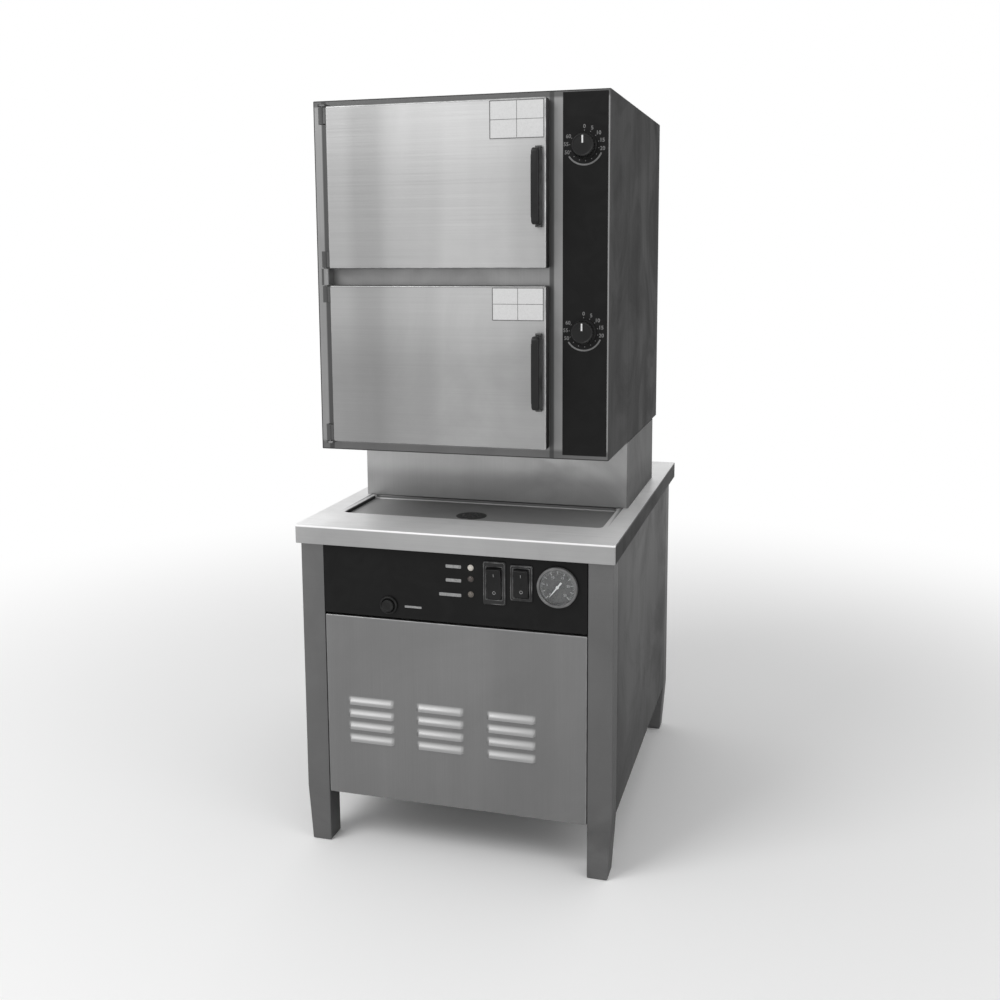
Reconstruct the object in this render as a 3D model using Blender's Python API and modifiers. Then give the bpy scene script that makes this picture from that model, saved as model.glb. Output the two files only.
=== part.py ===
"""Two-compartment pressureless steamer on a boiler cabinet, as separate sheet-metal and moving pieces.

Metres, +Z up. The origin is on the floor under the middle of the counter. The front faces -Y.
Depths named *_setback are measured from the counter's front edge, towards +Y.
"""
import bpy
import bmesh
from math import cos, pi, radians, sin
from mathutils import Matrix, Vector

# Fits that hold everywhere
GAP = 0.0003
OVERRUN = 0.010
MERGE = 0.00001
TURN_STEPS = 24
SAME_WAY = 0.9
ROUND_PROFILE = 0.5

# Counter with its drip tray
COUNTER_OVERHANG = 0.005
COUNTER_REAR_OVERHANG = 0.065
COUNTER_TOP = 0.632
FASCIA_HEIGHT = 0.035
COUNTER_SHEET = 0.0015
COUNTER_EDGE = 0.0025
TRAY_MARGIN = 0.047
TRAY_SETBACK = 0.120
TRAY_LENGTH = 0.168
TRAY_DEPTH = 0.008
DRAIN_X = -0.014
DRAIN_SETBACK = 0.183
DRAIN_BORE = 0.022
STRAINER_RADIUS = 0.030
STRAINER_SHEET = 0.0016
STRAINER_HOLE = 0.0026
STRAINER_RINGS = (6, 12)
STRAINER_HOLE_SIDES = 6
STRAINER_RING_PITCH = 0.0085
SERVICE_OPENING_HALF_WIDTH = 0.150
SERVICE_OPENING_SETBACK = 0.330
SERVICE_OPENING_LENGTH = 0.274

# Cabinet frame, legs and panels
CABINET_HALF_WIDTH = 0.300
CABINET_SETBACK = 0.014
CABINET_DEPTH = 0.731
LEG_SIZE = 0.046
LEG_FOOT_SIZE = 0.038
LEG_WALL = 0.0025
LEG_EDGE = 0.002
SKIRT_HEIGHT = 0.109
PANEL_SHEET = 0.0012
PANEL_FLANGE = 0.018
PANEL_REVEAL = 0.0008
PANEL_EDGE = 0.0012
SHELF_RIM = 0.022
FRONT_PANEL_BOTTOM = 0.102
FRONT_PANEL_TOP = 0.4585
CONTROL_PANEL_BOTTOM = 0.4625
FRONT_PANEL_FLANGE = 0.016

# Louvres of the front panel
LOUVRE_COLUMNS = 3
LOUVRE_ROWS = 4
LOUVRE_WIDTH = 0.090
LOUVRE_HEIGHT = 0.015
LOUVRE_RISE = 0.006
LOUVRE_NOSE = 0.004
LOUVRE_SHEET = 0.0012
LOUVRE_COLUMN_PITCH = 0.1377
LOUVRE_ROW_PITCH = 0.0247
LOUVRE_FIELD_X = -0.0255
LOUVRE_FIELD_Z = 0.256

# Fittings of the lower control panel
GAUGE_FROM_LEG = 0.0547
GAUGE_Z = 0.546
GAUGE_RADIUS = 0.037
GAUGE_RIM = 0.005
GAUGE_PROUD = 0.008
GAUGE_BODY_RADIUS = 0.030
GAUGE_BODY_DEPTH = 0.032
GAUGE_DIAL_RECESS = 0.007
GAUGE_LENS_THICKNESS = 0.0018
GAUGE_STEM_RADIUS = 0.0012
GAUGE_STEM_HEIGHT = 0.0035
NEEDLE_HUB_RADIUS = 0.0035
NEEDLE_LENGTH = 0.024
NEEDLE_TAIL = 0.012
NEEDLE_WIDTH = 0.0026
NEEDLE_THICKNESS = 0.0008
NEEDLE_LIFT = 0.0012
NEEDLE_HUB = 0.0018
NEEDLE_REST_DEG = 218.0
LIGHT_FROM_GAUGE = 0.1623
LIGHT_HEIGHTS = (0.5696, 0.5485, 0.5196)
LIGHT_RADIUS = 0.0042
LIGHT_FLANGE = 0.0056
LIGHT_PROUD = 0.0035
LIGHT_BODY = 0.022
LIGHT_SIDES = 12
MAIN_SWITCH_FROM_GAUGE = 0.1173
MAIN_SWITCH_Z = 0.5445
MAIN_SWITCH_WIDTH = 0.0415
MAIN_SWITCH_HEIGHT = 0.080
MAIN_ROCKER_WIDTH = 0.026
MAIN_ROCKER_HEIGHT = 0.056
DELIME_SWITCH_FROM_GAUGE = 0.0666
DELIME_SWITCH_Z = 0.5480
DELIME_SWITCH_WIDTH = 0.0415
DELIME_SWITCH_HEIGHT = 0.066
DELIME_ROCKER_WIDTH = 0.0255
DELIME_ROCKER_HEIGHT = 0.050
BEZEL_PROUD = 0.004
BEZEL_EDGE = 0.0012
SWITCH_BODY_DEPTH = 0.024
SWITCH_BODY_WALL = 0.0016
ROCKER_CLEARANCE = 0.0009
ROCKER_PROUD = 0.0045
ROCKER_BODY = 0.010
ROCKER_DISH = 0.0025
ROCKER_TRUNNION = 0.002
ROCKER_REST_DEG = 7.0
RESET_FROM_LEG = 0.1307
RESET_Z = 0.4868
RESET_RADIUS = 0.0170
RESET_PROUD = 0.005
RESET_BUTTON_RADIUS = 0.0115
RESET_BUTTON_PROUD = 0.0045
RESET_BODY = 0.024
RESET_WALL = 0.0025
RESET_CLEARANCE = 0.0005
RESET_TRAVEL = 0.003

# Pedestal and head
HEAD_DEPTH = 0.592
HEAD_SETBACK = 0.075
HEAD_BOTTOM = 0.766
HEAD_SHEET = 0.0015
HEAD_EDGE = 0.0015
FRAME_SHEET = 0.002
FRAME_FLANGE = 0.020
PEDESTAL_SETBACK = 0.291
PEDESTAL_DEPTH = 0.323
PEDESTAL_SHEET = 0.0015

# Cooking compartments and pan guides
CAVITY_DEPTH = 0.480
CAVITY_SHEET = 0.0015
CAVITY_EDGE = 0.010
COVE_SEGMENTS = 3
STEAM_INLET_RISE = 0.080
GUIDE_SHEET = 0.0015
GUIDE_LEDGE = 0.014
GUIDE_COUNT = 3
GUIDE_PITCH = 0.068
GUIDE_FIRST = 0.030
GUIDE_FRONT = 0.030
GUIDE_LENGTH = 0.420

# Doors
DOOR_WIDTH = 0.4115
DOOR_HEIGHT = 0.292
DOOR_LEFT_MARGIN = 0.036
DOOR_TOP_MARGIN = 0.013
DOOR_BOTTOM_MARGIN = 0.020
DOORS_APART = 0.031
DOOR_SIDE_LAP = 0.03575
DOOR_END_LAP = 0.0285
DOOR_SHEET = 0.0012
DOOR_THICKNESS = 0.0245
DOOR_EDGE = 0.0015
LINER_DEPTH = 0.014
GASKET_WIDTH = 0.012
GASKET_THICKNESS = 0.0028
GASKET_OUTSET = 0.016

# Door hinges: fixed brackets with pins, and a pivot block in each door
HINGE_FROM_DOOR = 0.0105
HINGE_FORWARD = 0.020
HINGE_PIN_RADIUS = 0.0030
HINGE_PIN_CLEARANCE = 0.0003
HINGE_PIN_LENGTH = 0.014
HINGE_BLOCK_LENGTH = 0.030
HINGE_BLOCK_RADIUS = 0.0065
BRACKET_THICKNESS = 0.004
BRACKET_RADIUS = 0.0075
HINGE_SIDES = 16

# Door handle levers
HANDLE_INSET = 0.01225
HANDLE_DROP = 0.006
HANDLE_WIDTH = 0.0135
HANDLE_HEIGHT = 0.130
HANDLE_REACH = 0.034
HANDLE_WALL = 0.0040
HANDLE_EDGE = 0.004
HANDLE_REST_GAP = 0.0008
HANDLE_FINGER_HEIGHT = 0.108
HANDLE_PIVOT_RADIUS = 0.0030
HANDLE_PIN_LENGTH = 0.006
HANDLE_EAR_THICKNESS = 0.004
HANDLE_EAR_RADIUS = 0.0060

# Control strip, timers and knobs
STRIP_FROM_DOOR = 0.024
STRIP_WIDTH = 0.080
STRIP_RIGHT_MARGIN = 0.0045
STRIP_BOTTOM_MARGIN = 0.008
STRIP_TOP_MARGIN = 0.0035
STRIP_SHEET = 0.0015
KNOB_FROM_STRIP_EDGE = 0.0381
KNOB_RISE = 0.0640
KNOB_RADIUS = 0.0215
KNOB_SKIRT_RADIUS = 0.0225
KNOB_SKIRT = 0.003
KNOB_HEIGHT = 0.018
KNOB_TAPER = 0.0015
KNOB_CHAMFER = 0.0020
KNOB_STEPS = 36
KNOB_FLUTES = 12
KNOB_FLUTE_RADIUS = 0.0020
KNOB_FLUTE_SIDES = 6
KNOB_BORE_DEPTH = 0.011
TIMER_BODY = 0.048
TIMER_DEPTH = 0.036
TIMER_SHAFT_RADIUS = 0.003
TIMER_BUSH_RADIUS = 0.006
SHAFT_CLEARANCE = 0.0003

# Boiler and plumbing in the cabinet
BOILER_FROM_SIDE = 0.135
BOILER_SETBACK = 0.390
BOILER_RADIUS = 0.115
BOILER_HEIGHT = 0.300
BOILER_WALL = 0.003
BOILER_MOUTH = 0.085
BOILER_SHOULDER = 0.030
BOILER_FLANGE = 0.008
HEATER_LID_RADIUS = 0.100
HEATER_LID_THICKNESS = 0.008
HEATER_TUBE_RADIUS = 0.005
HEATER_LOOP_HALF = 0.035
HEATER_LOOP_PITCH = 0.045
HEATER_LOOP_DROP = 0.190
HEATER_TERMINAL = 0.022
HEATER_BEND = 0.020
HEATER_LOOPS = 2
COLUMN_RADIUS = 0.026
COLUMN_HEIGHT = 0.220
COLUMN_CAP_RADIUS = 0.034
COLUMN_CAP = 0.012
COLUMN_WALL = 0.003
COLUMN_PORT = 0.012
COLUMN_SHOULDER = 0.010
COLUMN_FROM_SIDE = 0.075
COLUMN_SETBACK = 0.230
VALVE_X = 0.020
VALVE_FROM_BACK = 0.085
VALVE_BODY = 0.044
VALVE_COIL_RADIUS = 0.020
VALVE_COIL_HEIGHT = 0.050
VALVE_PORT_RADIUS = 0.011
VALVE_PORT_REACH = 0.016
DRAIN_BOX_X = 0.005
DRAIN_BOX_SETBACK = 0.560
DRAIN_BOX_WIDTH = 0.130
DRAIN_BOX_DEPTH = 0.110
DRAIN_BOX_HEIGHT = 0.150
DRAIN_BOX_SHEET = 0.0015
ELECTRIC_BOX_FROM_SIDE = 0.110
ELECTRIC_BOX_SETBACK = 0.330
ELECTRIC_BOX_WIDTH = 0.120
ELECTRIC_BOX_DEPTH = 0.300
ELECTRIC_BOX_HEIGHT = 0.230
ELECTRIC_BOX_SHEET = 0.0012
STEAM_PIPE_RADIUS = 0.0130
STEAM_PIPE_WALL = 0.0015
DRAIN_PIPE_RADIUS = 0.0110
RISER_SETBACK = 0.588
RISER_FROM_BOILER = {"upper": 0.065, "lower": 0.030}
PIPE_BEND = 0.024
DRAIN_BEND = 0.036
STEAM_RUN_LEVEL = 0.520
CABLE_ENTRY_RADIUS = 0.012
BEND_POINTS = 4
CAVITY_DRAIN_X = 0.004
CAVITY_DRAIN_SETBACK = 0.535

# Finishes: colour, roughness, metallic
FINISHES = {
    "brushed_steel": ((0.56, 0.56, 0.55), 0.34, 0.9),
    "casing_steel": ((0.33, 0.33, 0.33), 0.38, 0.9),
    "counter_steel": ((0.66, 0.66, 0.65), 0.30, 0.9),
    "painted_steel": ((0.30, 0.30, 0.30), 0.45, 0.3),
    "black_panel": ((0.012, 0.012, 0.013), 0.35, 0.0),
    "black_plastic": ((0.015, 0.015, 0.016), 0.42, 0.0),
    "silicone": ((0.10, 0.10, 0.10), 0.70, 0.0),
    "clear_glass": ((0.80, 0.85, 0.86), 0.05, 0.0),
    "amber_lens": ((0.55, 0.32, 0.12), 0.20, 0.0),
    "white_enamel": ((0.75, 0.75, 0.73), 0.40, 0.0),
    "brass": ((0.62, 0.45, 0.20), 0.35, 1.0),
    "copper": ((0.64, 0.36, 0.24), 0.32, 1.0),
}


COUNTER_WIDTH = 2 * (CABINET_HALF_WIDTH + COUNTER_OVERHANG)
COUNTER_DEPTH = CABINET_SETBACK + CABINET_DEPTH + COUNTER_REAR_OVERHANG

# How a flat outline is laid: drawn from the front as (x, z), or from the side as (forward, z)
FRONT_VIEW = Matrix(((1, 0, 0, 0), (0, 0, -1, 0), (0, 1, 0, 0), (0, 0, 0, 1)))
SIDE_VIEW = Matrix(((0, 0, -1, 0), (-1, 0, 0, 0), (0, 1, 0, 0), (0, 0, 0, 1)))


def clear_scene():
    """Empty the file of objects and of the collections that held them."""
    for item in list(bpy.data.objects):
        bpy.data.objects.remove(item, do_unlink=True)
    for group in list(bpy.data.collections):
        bpy.data.collections.remove(group)


clear_scene()
PARTS = bpy.data.collections.new("pressureless_steamer")
CUTTERS = bpy.data.collections.new("cutters")
bpy.context.scene.collection.children.link(PARTS)
bpy.context.scene.collection.children.link(CUTTERS)


def front(setback):
    """World Y of a place that lies setback behind the counter's front edge."""
    return setback - COUNTER_DEPTH / 2


def finish(name):
    """The Principled material of one finish, made once."""
    if name in bpy.data.materials:
        return bpy.data.materials[name]
    colour, roughness, metallic = FINISHES[name]
    made = bpy.data.materials.new(name)
    made.use_nodes = True
    shader = made.node_tree.nodes["Principled BSDF"]
    shader.inputs["Base Color"].default_value = (*colour, 1)
    shader.inputs["Roughness"].default_value = roughness
    shader.inputs["Metallic"].default_value = metallic
    return made


def add(name, mesh, material, place=(0, 0, 0), turn=(0, 0, 0), parent=None):
    """Link a mesh as one of the steamer's pieces."""
    piece = bpy.data.objects.new(name, mesh)
    PARTS.objects.link(piece)
    piece.location = place
    piece.rotation_euler = turn
    mesh.materials.append(finish(material))
    if parent is not None:
        piece.parent = parent
    return piece


def add_tool(name, mesh, place=(0, 0, 0), turn=(0, 0, 0)):
    """Link a mesh as a cutter or as stock that a piece is joined with."""
    tool = bpy.data.objects.new(name, mesh)
    CUTTERS.objects.link(tool)
    tool.location = place
    tool.rotation_euler = turn
    tool.hide_render = True
    tool.display_type = "WIRE"
    return tool


def add_pivot(name, place):
    """An empty on a joint's axis, which the moving piece hangs from."""
    pivot = bpy.data.objects.new(name, None)
    PARTS.objects.link(pivot)
    pivot.location = place
    return pivot


def box_mesh(name, low, high):
    """A box between two corners, centred on its own origin, and the place of that origin."""
    size = Vector(high) - Vector(low)
    middle = (Vector(high) + Vector(low)) / 2
    shape = bmesh.new()
    bmesh.ops.create_cube(shape, size=1)
    bmesh.ops.scale(shape, vec=size, verts=shape.verts)
    mesh = bpy.data.meshes.new(name)
    shape.to_mesh(mesh)
    shape.free()
    return mesh, middle


def box(name, low, high, material, edge=0):
    """A solid box piece with eased edges."""
    mesh, middle = box_mesh(name, low, high)
    piece = add(name, mesh, material, middle)
    if edge:
        ease(piece, edge)
    return piece


def box_tool(name, low, high):
    """A box for cutting or joining."""
    mesh, middle = box_mesh(name, low, high)
    return add_tool(name, mesh, middle)


def ease(piece, width, segments=2):
    """Round a piece's sharp edges."""
    bevel = piece.modifiers.new("eased_edges", "BEVEL")
    bevel.width = width
    bevel.segments = segments
    bevel.limit_method = "ANGLE"
    bevel.angle_limit = radians(40)
    return bevel


def pan(name, low, high, sheet, open_sides, material, edge=0, tool=False):
    """A folded sheet-metal pan: a box skin with some sides open, thickened inwards."""
    mesh, middle = box_mesh(name, low, high)
    shape = bmesh.new()
    shape.from_mesh(mesh)
    for side in open_sides:
        way = Vector(side)
        gone = [face for face in shape.faces if face.normal.dot(way) > SAME_WAY]
        bmesh.ops.delete(shape, geom=gone, context="FACES")
    shape.to_mesh(mesh)
    shape.free()
    piece = add_tool(name, mesh, middle) if tool else add(name, mesh, material, middle)
    if edge:
        ease(piece, edge)
    skin = piece.modifiers.new("sheet", "SOLIDIFY")
    skin.thickness = sheet
    skin.offset = -1
    skin.use_even_offset = True
    return piece


def outline_mesh(name, points, depth, view):
    """A flat outline extruded by depth about its plane, then laid in its view, as a closed mesh."""
    curve = bpy.data.curves.new(name, "CURVE")
    curve.dimensions = "2D"
    curve.fill_mode = "BOTH"
    curve.extrude = depth / 2
    curve.render_resolution_u = 0
    spline = curve.splines.new("POLY")
    spline.points.add(len(points) - 1)
    for spot, (across, up) in zip(spline.points, points):
        spot.co = (across, up, 0, 1)
    spline.use_cyclic_u = True
    mesh = welded_mesh(name, curve)
    mesh.transform(view)
    return mesh


def welded_mesh(name, curve):
    """A curve made a closed mesh, with its caps welded on."""
    guide = bpy.data.objects.new(name, curve)
    bpy.context.scene.collection.objects.link(guide)
    bpy.context.view_layer.update()
    graph = bpy.context.evaluated_depsgraph_get()
    mesh = bpy.data.meshes.new_from_object(guide.evaluated_get(graph))
    bpy.data.objects.remove(guide, do_unlink=True)
    bpy.data.curves.remove(curve)
    shape = bmesh.new()
    shape.from_mesh(mesh)
    bmesh.ops.remove_doubles(shape, verts=shape.verts, dist=MERGE)
    bmesh.ops.recalc_face_normals(shape, faces=shape.faces)
    shape.to_mesh(mesh)
    shape.free()
    mesh.materials.clear()
    mesh.name = name
    return mesh


def cylinder_mesh(name, radius, length, sides=TURN_STEPS):
    """A capped cylinder on local Z, centred on its origin."""
    shape = bmesh.new()
    bmesh.ops.create_cone(
        shape, cap_ends=True, segments=sides, radius1=radius, radius2=radius, depth=length
    )
    mesh = bpy.data.meshes.new(name)
    shape.to_mesh(mesh)
    shape.free()
    return mesh


def along(axis):
    """The turn that lays local +Z along a world axis."""
    return {"Z": (0, 0, 0), "-Y": (pi / 2, 0, 0), "X": (0, pi / 2, 0)}[axis]


def cylinder_tool(name, radius, length, place, axis="Z", sides=TURN_STEPS):
    """A cylinder for cutting or joining, centred on place."""
    return add_tool(name, cylinder_mesh(name, radius, length, sides), place, along(axis))


def cut(piece, tool):
    """Take a tool's volume out of a piece."""
    boolean = piece.modifiers.new("cut_" + tool.name, "BOOLEAN")
    boolean.operation = "DIFFERENCE"
    boolean.object = tool
    return piece


def join(piece, tool):
    """Weld a tool's volume onto a piece."""
    boolean = piece.modifiers.new("join_" + tool.name, "BOOLEAN")
    boolean.operation = "UNION"
    boolean.object = tool
    return piece


def turned(name, profile, material, place, axis="Z", closed=False, steps=TURN_STEPS, tool=False):
    """A turned piece: a profile of (radius, height), top to bottom on its outer side, revolved."""
    mesh = bpy.data.meshes.new(name)
    count = len(profile)
    edges = [(spot, spot + 1) for spot in range(count - 1)]
    if closed:
        edges.append((count - 1, 0))
    mesh.from_pydata([(radius, 0, height) for radius, height in profile], edges, [])
    turn = along(axis)
    piece = add_tool(name, mesh, place, turn) if tool else add(name, mesh, material, place, turn)
    screw = piece.modifiers.new("turning", "SCREW")
    screw.steps = steps
    screw.render_steps = steps
    screw.use_merge_vertices = True
    screw.merge_threshold = MERGE
    screw.use_smooth_shade = True
    return piece


def repeated(name, mesh, places):
    """One mesh that holds a copy of another at each place."""
    shape = bmesh.new()
    for place in places:
        copy = bmesh.new()
        copy.from_mesh(mesh)
        bmesh.ops.translate(copy, vec=Vector(place), verts=copy.verts)
        stamped = bpy.data.meshes.new(name)
        copy.to_mesh(stamped)
        copy.free()
        shape.from_mesh(stamped)
        bpy.data.meshes.remove(stamped)
    made = bpy.data.meshes.new(name)
    shape.to_mesh(made)
    shape.free()
    return made


def bent_path(corners, bend):
    """The points of a pipe run: straight between corners, with each inner corner on an arc."""
    points = [Vector(corners[0])]
    for before, corner, after in zip(corners, corners[1:], corners[2:]):
        corner = Vector(corner)
        back = (Vector(before) - corner).normalized()
        ahead = (Vector(after) - corner).normalized()
        middle = corner + (back + ahead) * bend
        for step in range(BEND_POINTS):
            angle = pi / 2 * step / (BEND_POINTS - 1)
            points.append(middle - ahead * bend * cos(angle) - back * bend * sin(angle))
    points.append(Vector(corners[-1]))
    return points


def rod_mesh(name, points, radius):
    """A round rod along points, with filled caps, as a closed mesh."""
    curve = bpy.data.curves.new(name, "CURVE")
    curve.dimensions = "3D"
    curve.bevel_depth = radius
    curve.bevel_resolution = 2
    curve.use_fill_caps = True
    curve.render_resolution_u = 0
    spline = curve.splines.new("POLY")
    spline.points.add(len(points) - 1)
    for spot, point in zip(spline.points, points):
        spot.co = (*point, 1)
    return welded_mesh(name, curve)


def pipe(name, corners, radius, wall, material, bend):
    """A bent pipe with its bore, open at both ends."""
    points = bent_path(corners, bend)
    piece = add(name, rod_mesh(name, points, radius), material)
    first = points[0] + (points[0] - points[1]).normalized() * OVERRUN
    last = points[-1] + (points[-1] - points[-2]).normalized() * OVERRUN
    bore = rod_mesh(name + "_bore", [first, *points[1:-1], last], radius - wall)
    return cut(piece, add_tool(name + "_bore", bore))


# Faces and edges that several pieces meet
TRAY_HALF_WIDTH = COUNTER_WIDTH / 2 - TRAY_MARGIN
CABINET_TOP = COUNTER_TOP - FASCIA_HEIGHT
CABINET_FRONT = front(CABINET_SETBACK)
CABINET_BACK = CABINET_FRONT + CABINET_DEPTH
LEG_INNER = CABINET_HALF_WIDTH - LEG_SIZE
HEAD_WIDTH = (
    DOOR_LEFT_MARGIN + DOOR_WIDTH + STRIP_FROM_DOOR + STRIP_WIDTH + STRIP_RIGHT_MARGIN
)
HEAD_HALF_WIDTH = HEAD_WIDTH / 2
HEAD_TOP = (
    HEAD_BOTTOM + DOOR_BOTTOM_MARGIN + DOOR_HEIGHT + DOORS_APART + DOOR_HEIGHT + DOOR_TOP_MARGIN
)
DOOR_CENTRES = (
    HEAD_TOP - DOOR_TOP_MARGIN - DOOR_HEIGHT / 2,
    HEAD_BOTTOM + DOOR_BOTTOM_MARGIN + DOOR_HEIGHT / 2
)
DOOR_LEFT = DOOR_LEFT_MARGIN - HEAD_HALF_WIDTH
CAVITY_WIDTH = DOOR_WIDTH - 2 * DOOR_SIDE_LAP
CAVITY_HEIGHT = DOOR_HEIGHT - 2 * DOOR_END_LAP
HEAD_FRONT = front(HEAD_SETBACK)
HEAD_BACK = HEAD_FRONT + HEAD_DEPTH
CAVITY_CENTRE_X = DOOR_LEFT + DOOR_WIDTH / 2
CAVITY_OUTER_WIDTH = CAVITY_WIDTH + 2 * CAVITY_SHEET
CAVITY_OUTER_HEIGHT = CAVITY_HEIGHT + 2 * CAVITY_SHEET
CAVITY_BACK = HEAD_FRONT + CAVITY_DEPTH + CAVITY_SHEET
DOOR_BACK = HEAD_FRONT - 2 * GAP - GASKET_THICKNESS
DOOR_FRONT = DOOR_BACK - DOOR_THICKNESS
DOOR_RIGHT = DOOR_LEFT + DOOR_WIDTH
HINGE_X = DOOR_LEFT - HINGE_FROM_DOOR
HINGE_Y = HEAD_FRONT - HINGE_FORWARD
STRIP_LEFT = DOOR_RIGHT + STRIP_FROM_DOOR
STRIP_RIGHT = STRIP_LEFT + STRIP_WIDTH
STRIP_BOTTOM = HEAD_BOTTOM + STRIP_BOTTOM_MARGIN
STRIP_TOP = HEAD_TOP - STRIP_TOP_MARGIN
KNOB_X = STRIP_LEFT + KNOB_FROM_STRIP_EDGE
HANDLE_X = DOOR_RIGHT - HANDLE_INSET
STRIP_FRONT = HEAD_FRONT - GAP - STRIP_SHEET
HANDLE_PIVOT_X = HANDLE_X + HANDLE_WIDTH / 2 - HANDLE_EAR_RADIUS
HANDLE_PIVOT_Y = DOOR_FRONT - HANDLE_EAR_RADIUS - HANDLE_REST_GAP
SHELF_TOP = SKIRT_HEIGHT + PANEL_SHEET + GAP + PANEL_SHEET
DRAIN_HOSE_LEVEL = SHELF_TOP + DRAIN_BOX_HEIGHT - DRAIN_BORE - 2 * DRAIN_BOX_SHEET
GAUGE_X = LEG_INNER - GAUGE_FROM_LEG
LIGHT_X = GAUGE_X - LIGHT_FROM_GAUGE
RESET_X = RESET_FROM_LEG - LEG_INNER
BOILER_X = BOILER_FROM_SIDE - CABINET_HALF_WIDTH
COLUMN_X = COLUMN_FROM_SIDE - CABINET_HALF_WIDTH
ELECTRIC_BOX_X = CABINET_HALF_WIDTH - ELECTRIC_BOX_FROM_SIDE
VALVE_Y = CABINET_BACK - VALVE_FROM_BACK
LEVELS = ("upper", "lower")
SWITCHES = (
    {
        "name": "main_switch",
        "x": GAUGE_X - MAIN_SWITCH_FROM_GAUGE, "z": MAIN_SWITCH_Z,
        "width": MAIN_SWITCH_WIDTH, "height": MAIN_SWITCH_HEIGHT,
        "rocker_width": MAIN_ROCKER_WIDTH, "rocker_height": MAIN_ROCKER_HEIGHT,
    },
    {
        "name": "delime_switch",
        "x": GAUGE_X - DELIME_SWITCH_FROM_GAUGE, "z": DELIME_SWITCH_Z,
        "width": DELIME_SWITCH_WIDTH, "height": DELIME_SWITCH_HEIGHT,
        "rocker_width": DELIME_ROCKER_WIDTH, "rocker_height": DELIME_ROCKER_HEIGHT,
    },
)


def build_leg(name, side, end):
    """A square tube leg with a closed foot, whose outer faces draw in below the skirt."""
    outer_x = side * CABINET_HALF_WIDTH
    inner_x = side * LEG_INNER
    outer_y = CABINET_FRONT if end < 0 else CABINET_BACK
    inner_y = outer_y - end * LEG_SIZE
    low = (min(outer_x, inner_x), min(outer_y, inner_y), 0)
    high = (max(outer_x, inner_x), max(outer_y, inner_y), CABINET_TOP - GAP)
    leg = pan(name, low, high, LEG_WALL, ((0, 0, 1),), "painted_steel")
    shape = bmesh.new()
    shape.from_mesh(leg.data)
    skirt = SKIRT_HEIGHT - leg.location.z
    bmesh.ops.bisect_plane(
        shape, geom=shape.verts[:] + shape.edges[:] + shape.faces[:],
        plane_co=(0, 0, skirt), plane_no=(0, 0, 1)
    )
    taper = LEG_SIZE - LEG_FOOT_SIZE
    for vert in shape.verts:
        if vert.co.z < skirt - MERGE:
            vert.co.x -= side * taper if vert.co.x * side > 0 else 0
            vert.co.y -= end * taper if end > 0 and vert.co.y > 0 else 0
    shape.to_mesh(leg.data)
    shape.free()
    bevel = ease(leg, LEG_EDGE)
    leg.modifiers.move(leg.modifiers.find(bevel.name), 0)
    return leg


def build_cabinet():
    """Legs, skins and shelf of the boiler cabinet."""
    for side, side_name in ((-1, "left"), (1, "right")):
        build_leg("leg_front_" + side_name, side, -1)
        build_leg("leg_rear_" + side_name, side, 1)
        outer = side * (CABINET_HALF_WIDTH - GAP)
        inner = side * (CABINET_HALF_WIDTH - PANEL_FLANGE)
        pan(
            "side_panel_" + side_name,
            (min(outer, inner), CABINET_FRONT + LEG_SIZE + PANEL_REVEAL, SKIRT_HEIGHT),
            (max(outer, inner), CABINET_BACK - LEG_SIZE - PANEL_REVEAL, CABINET_TOP - GAP),
            PANEL_SHEET, ((-side, 0, 0),), "painted_steel", PANEL_EDGE
        )
    pan(
        "rear_panel",
        (-LEG_INNER + PANEL_REVEAL, CABINET_BACK - PANEL_FLANGE, SKIRT_HEIGHT),
        (LEG_INNER - PANEL_REVEAL, CABINET_BACK - GAP, CABINET_TOP - GAP),
        PANEL_SHEET, ((0, -1, 0),), "painted_steel", PANEL_EDGE
    )
    shelf_half = CABINET_HALF_WIDTH - GAP - PANEL_SHEET - PANEL_REVEAL
    shelf_end = LEG_SIZE + PANEL_REVEAL + PANEL_SHEET + GAP
    pan(
        "bottom_shelf",
        (-shelf_half, CABINET_FRONT + shelf_end, SKIRT_HEIGHT + PANEL_SHEET + GAP),
        (
            shelf_half, CABINET_BACK - shelf_end,
            SKIRT_HEIGHT + PANEL_SHEET + GAP + SHELF_RIM
        ),
        PANEL_SHEET, ((0, 0, 1),), "painted_steel"
    )


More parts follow.
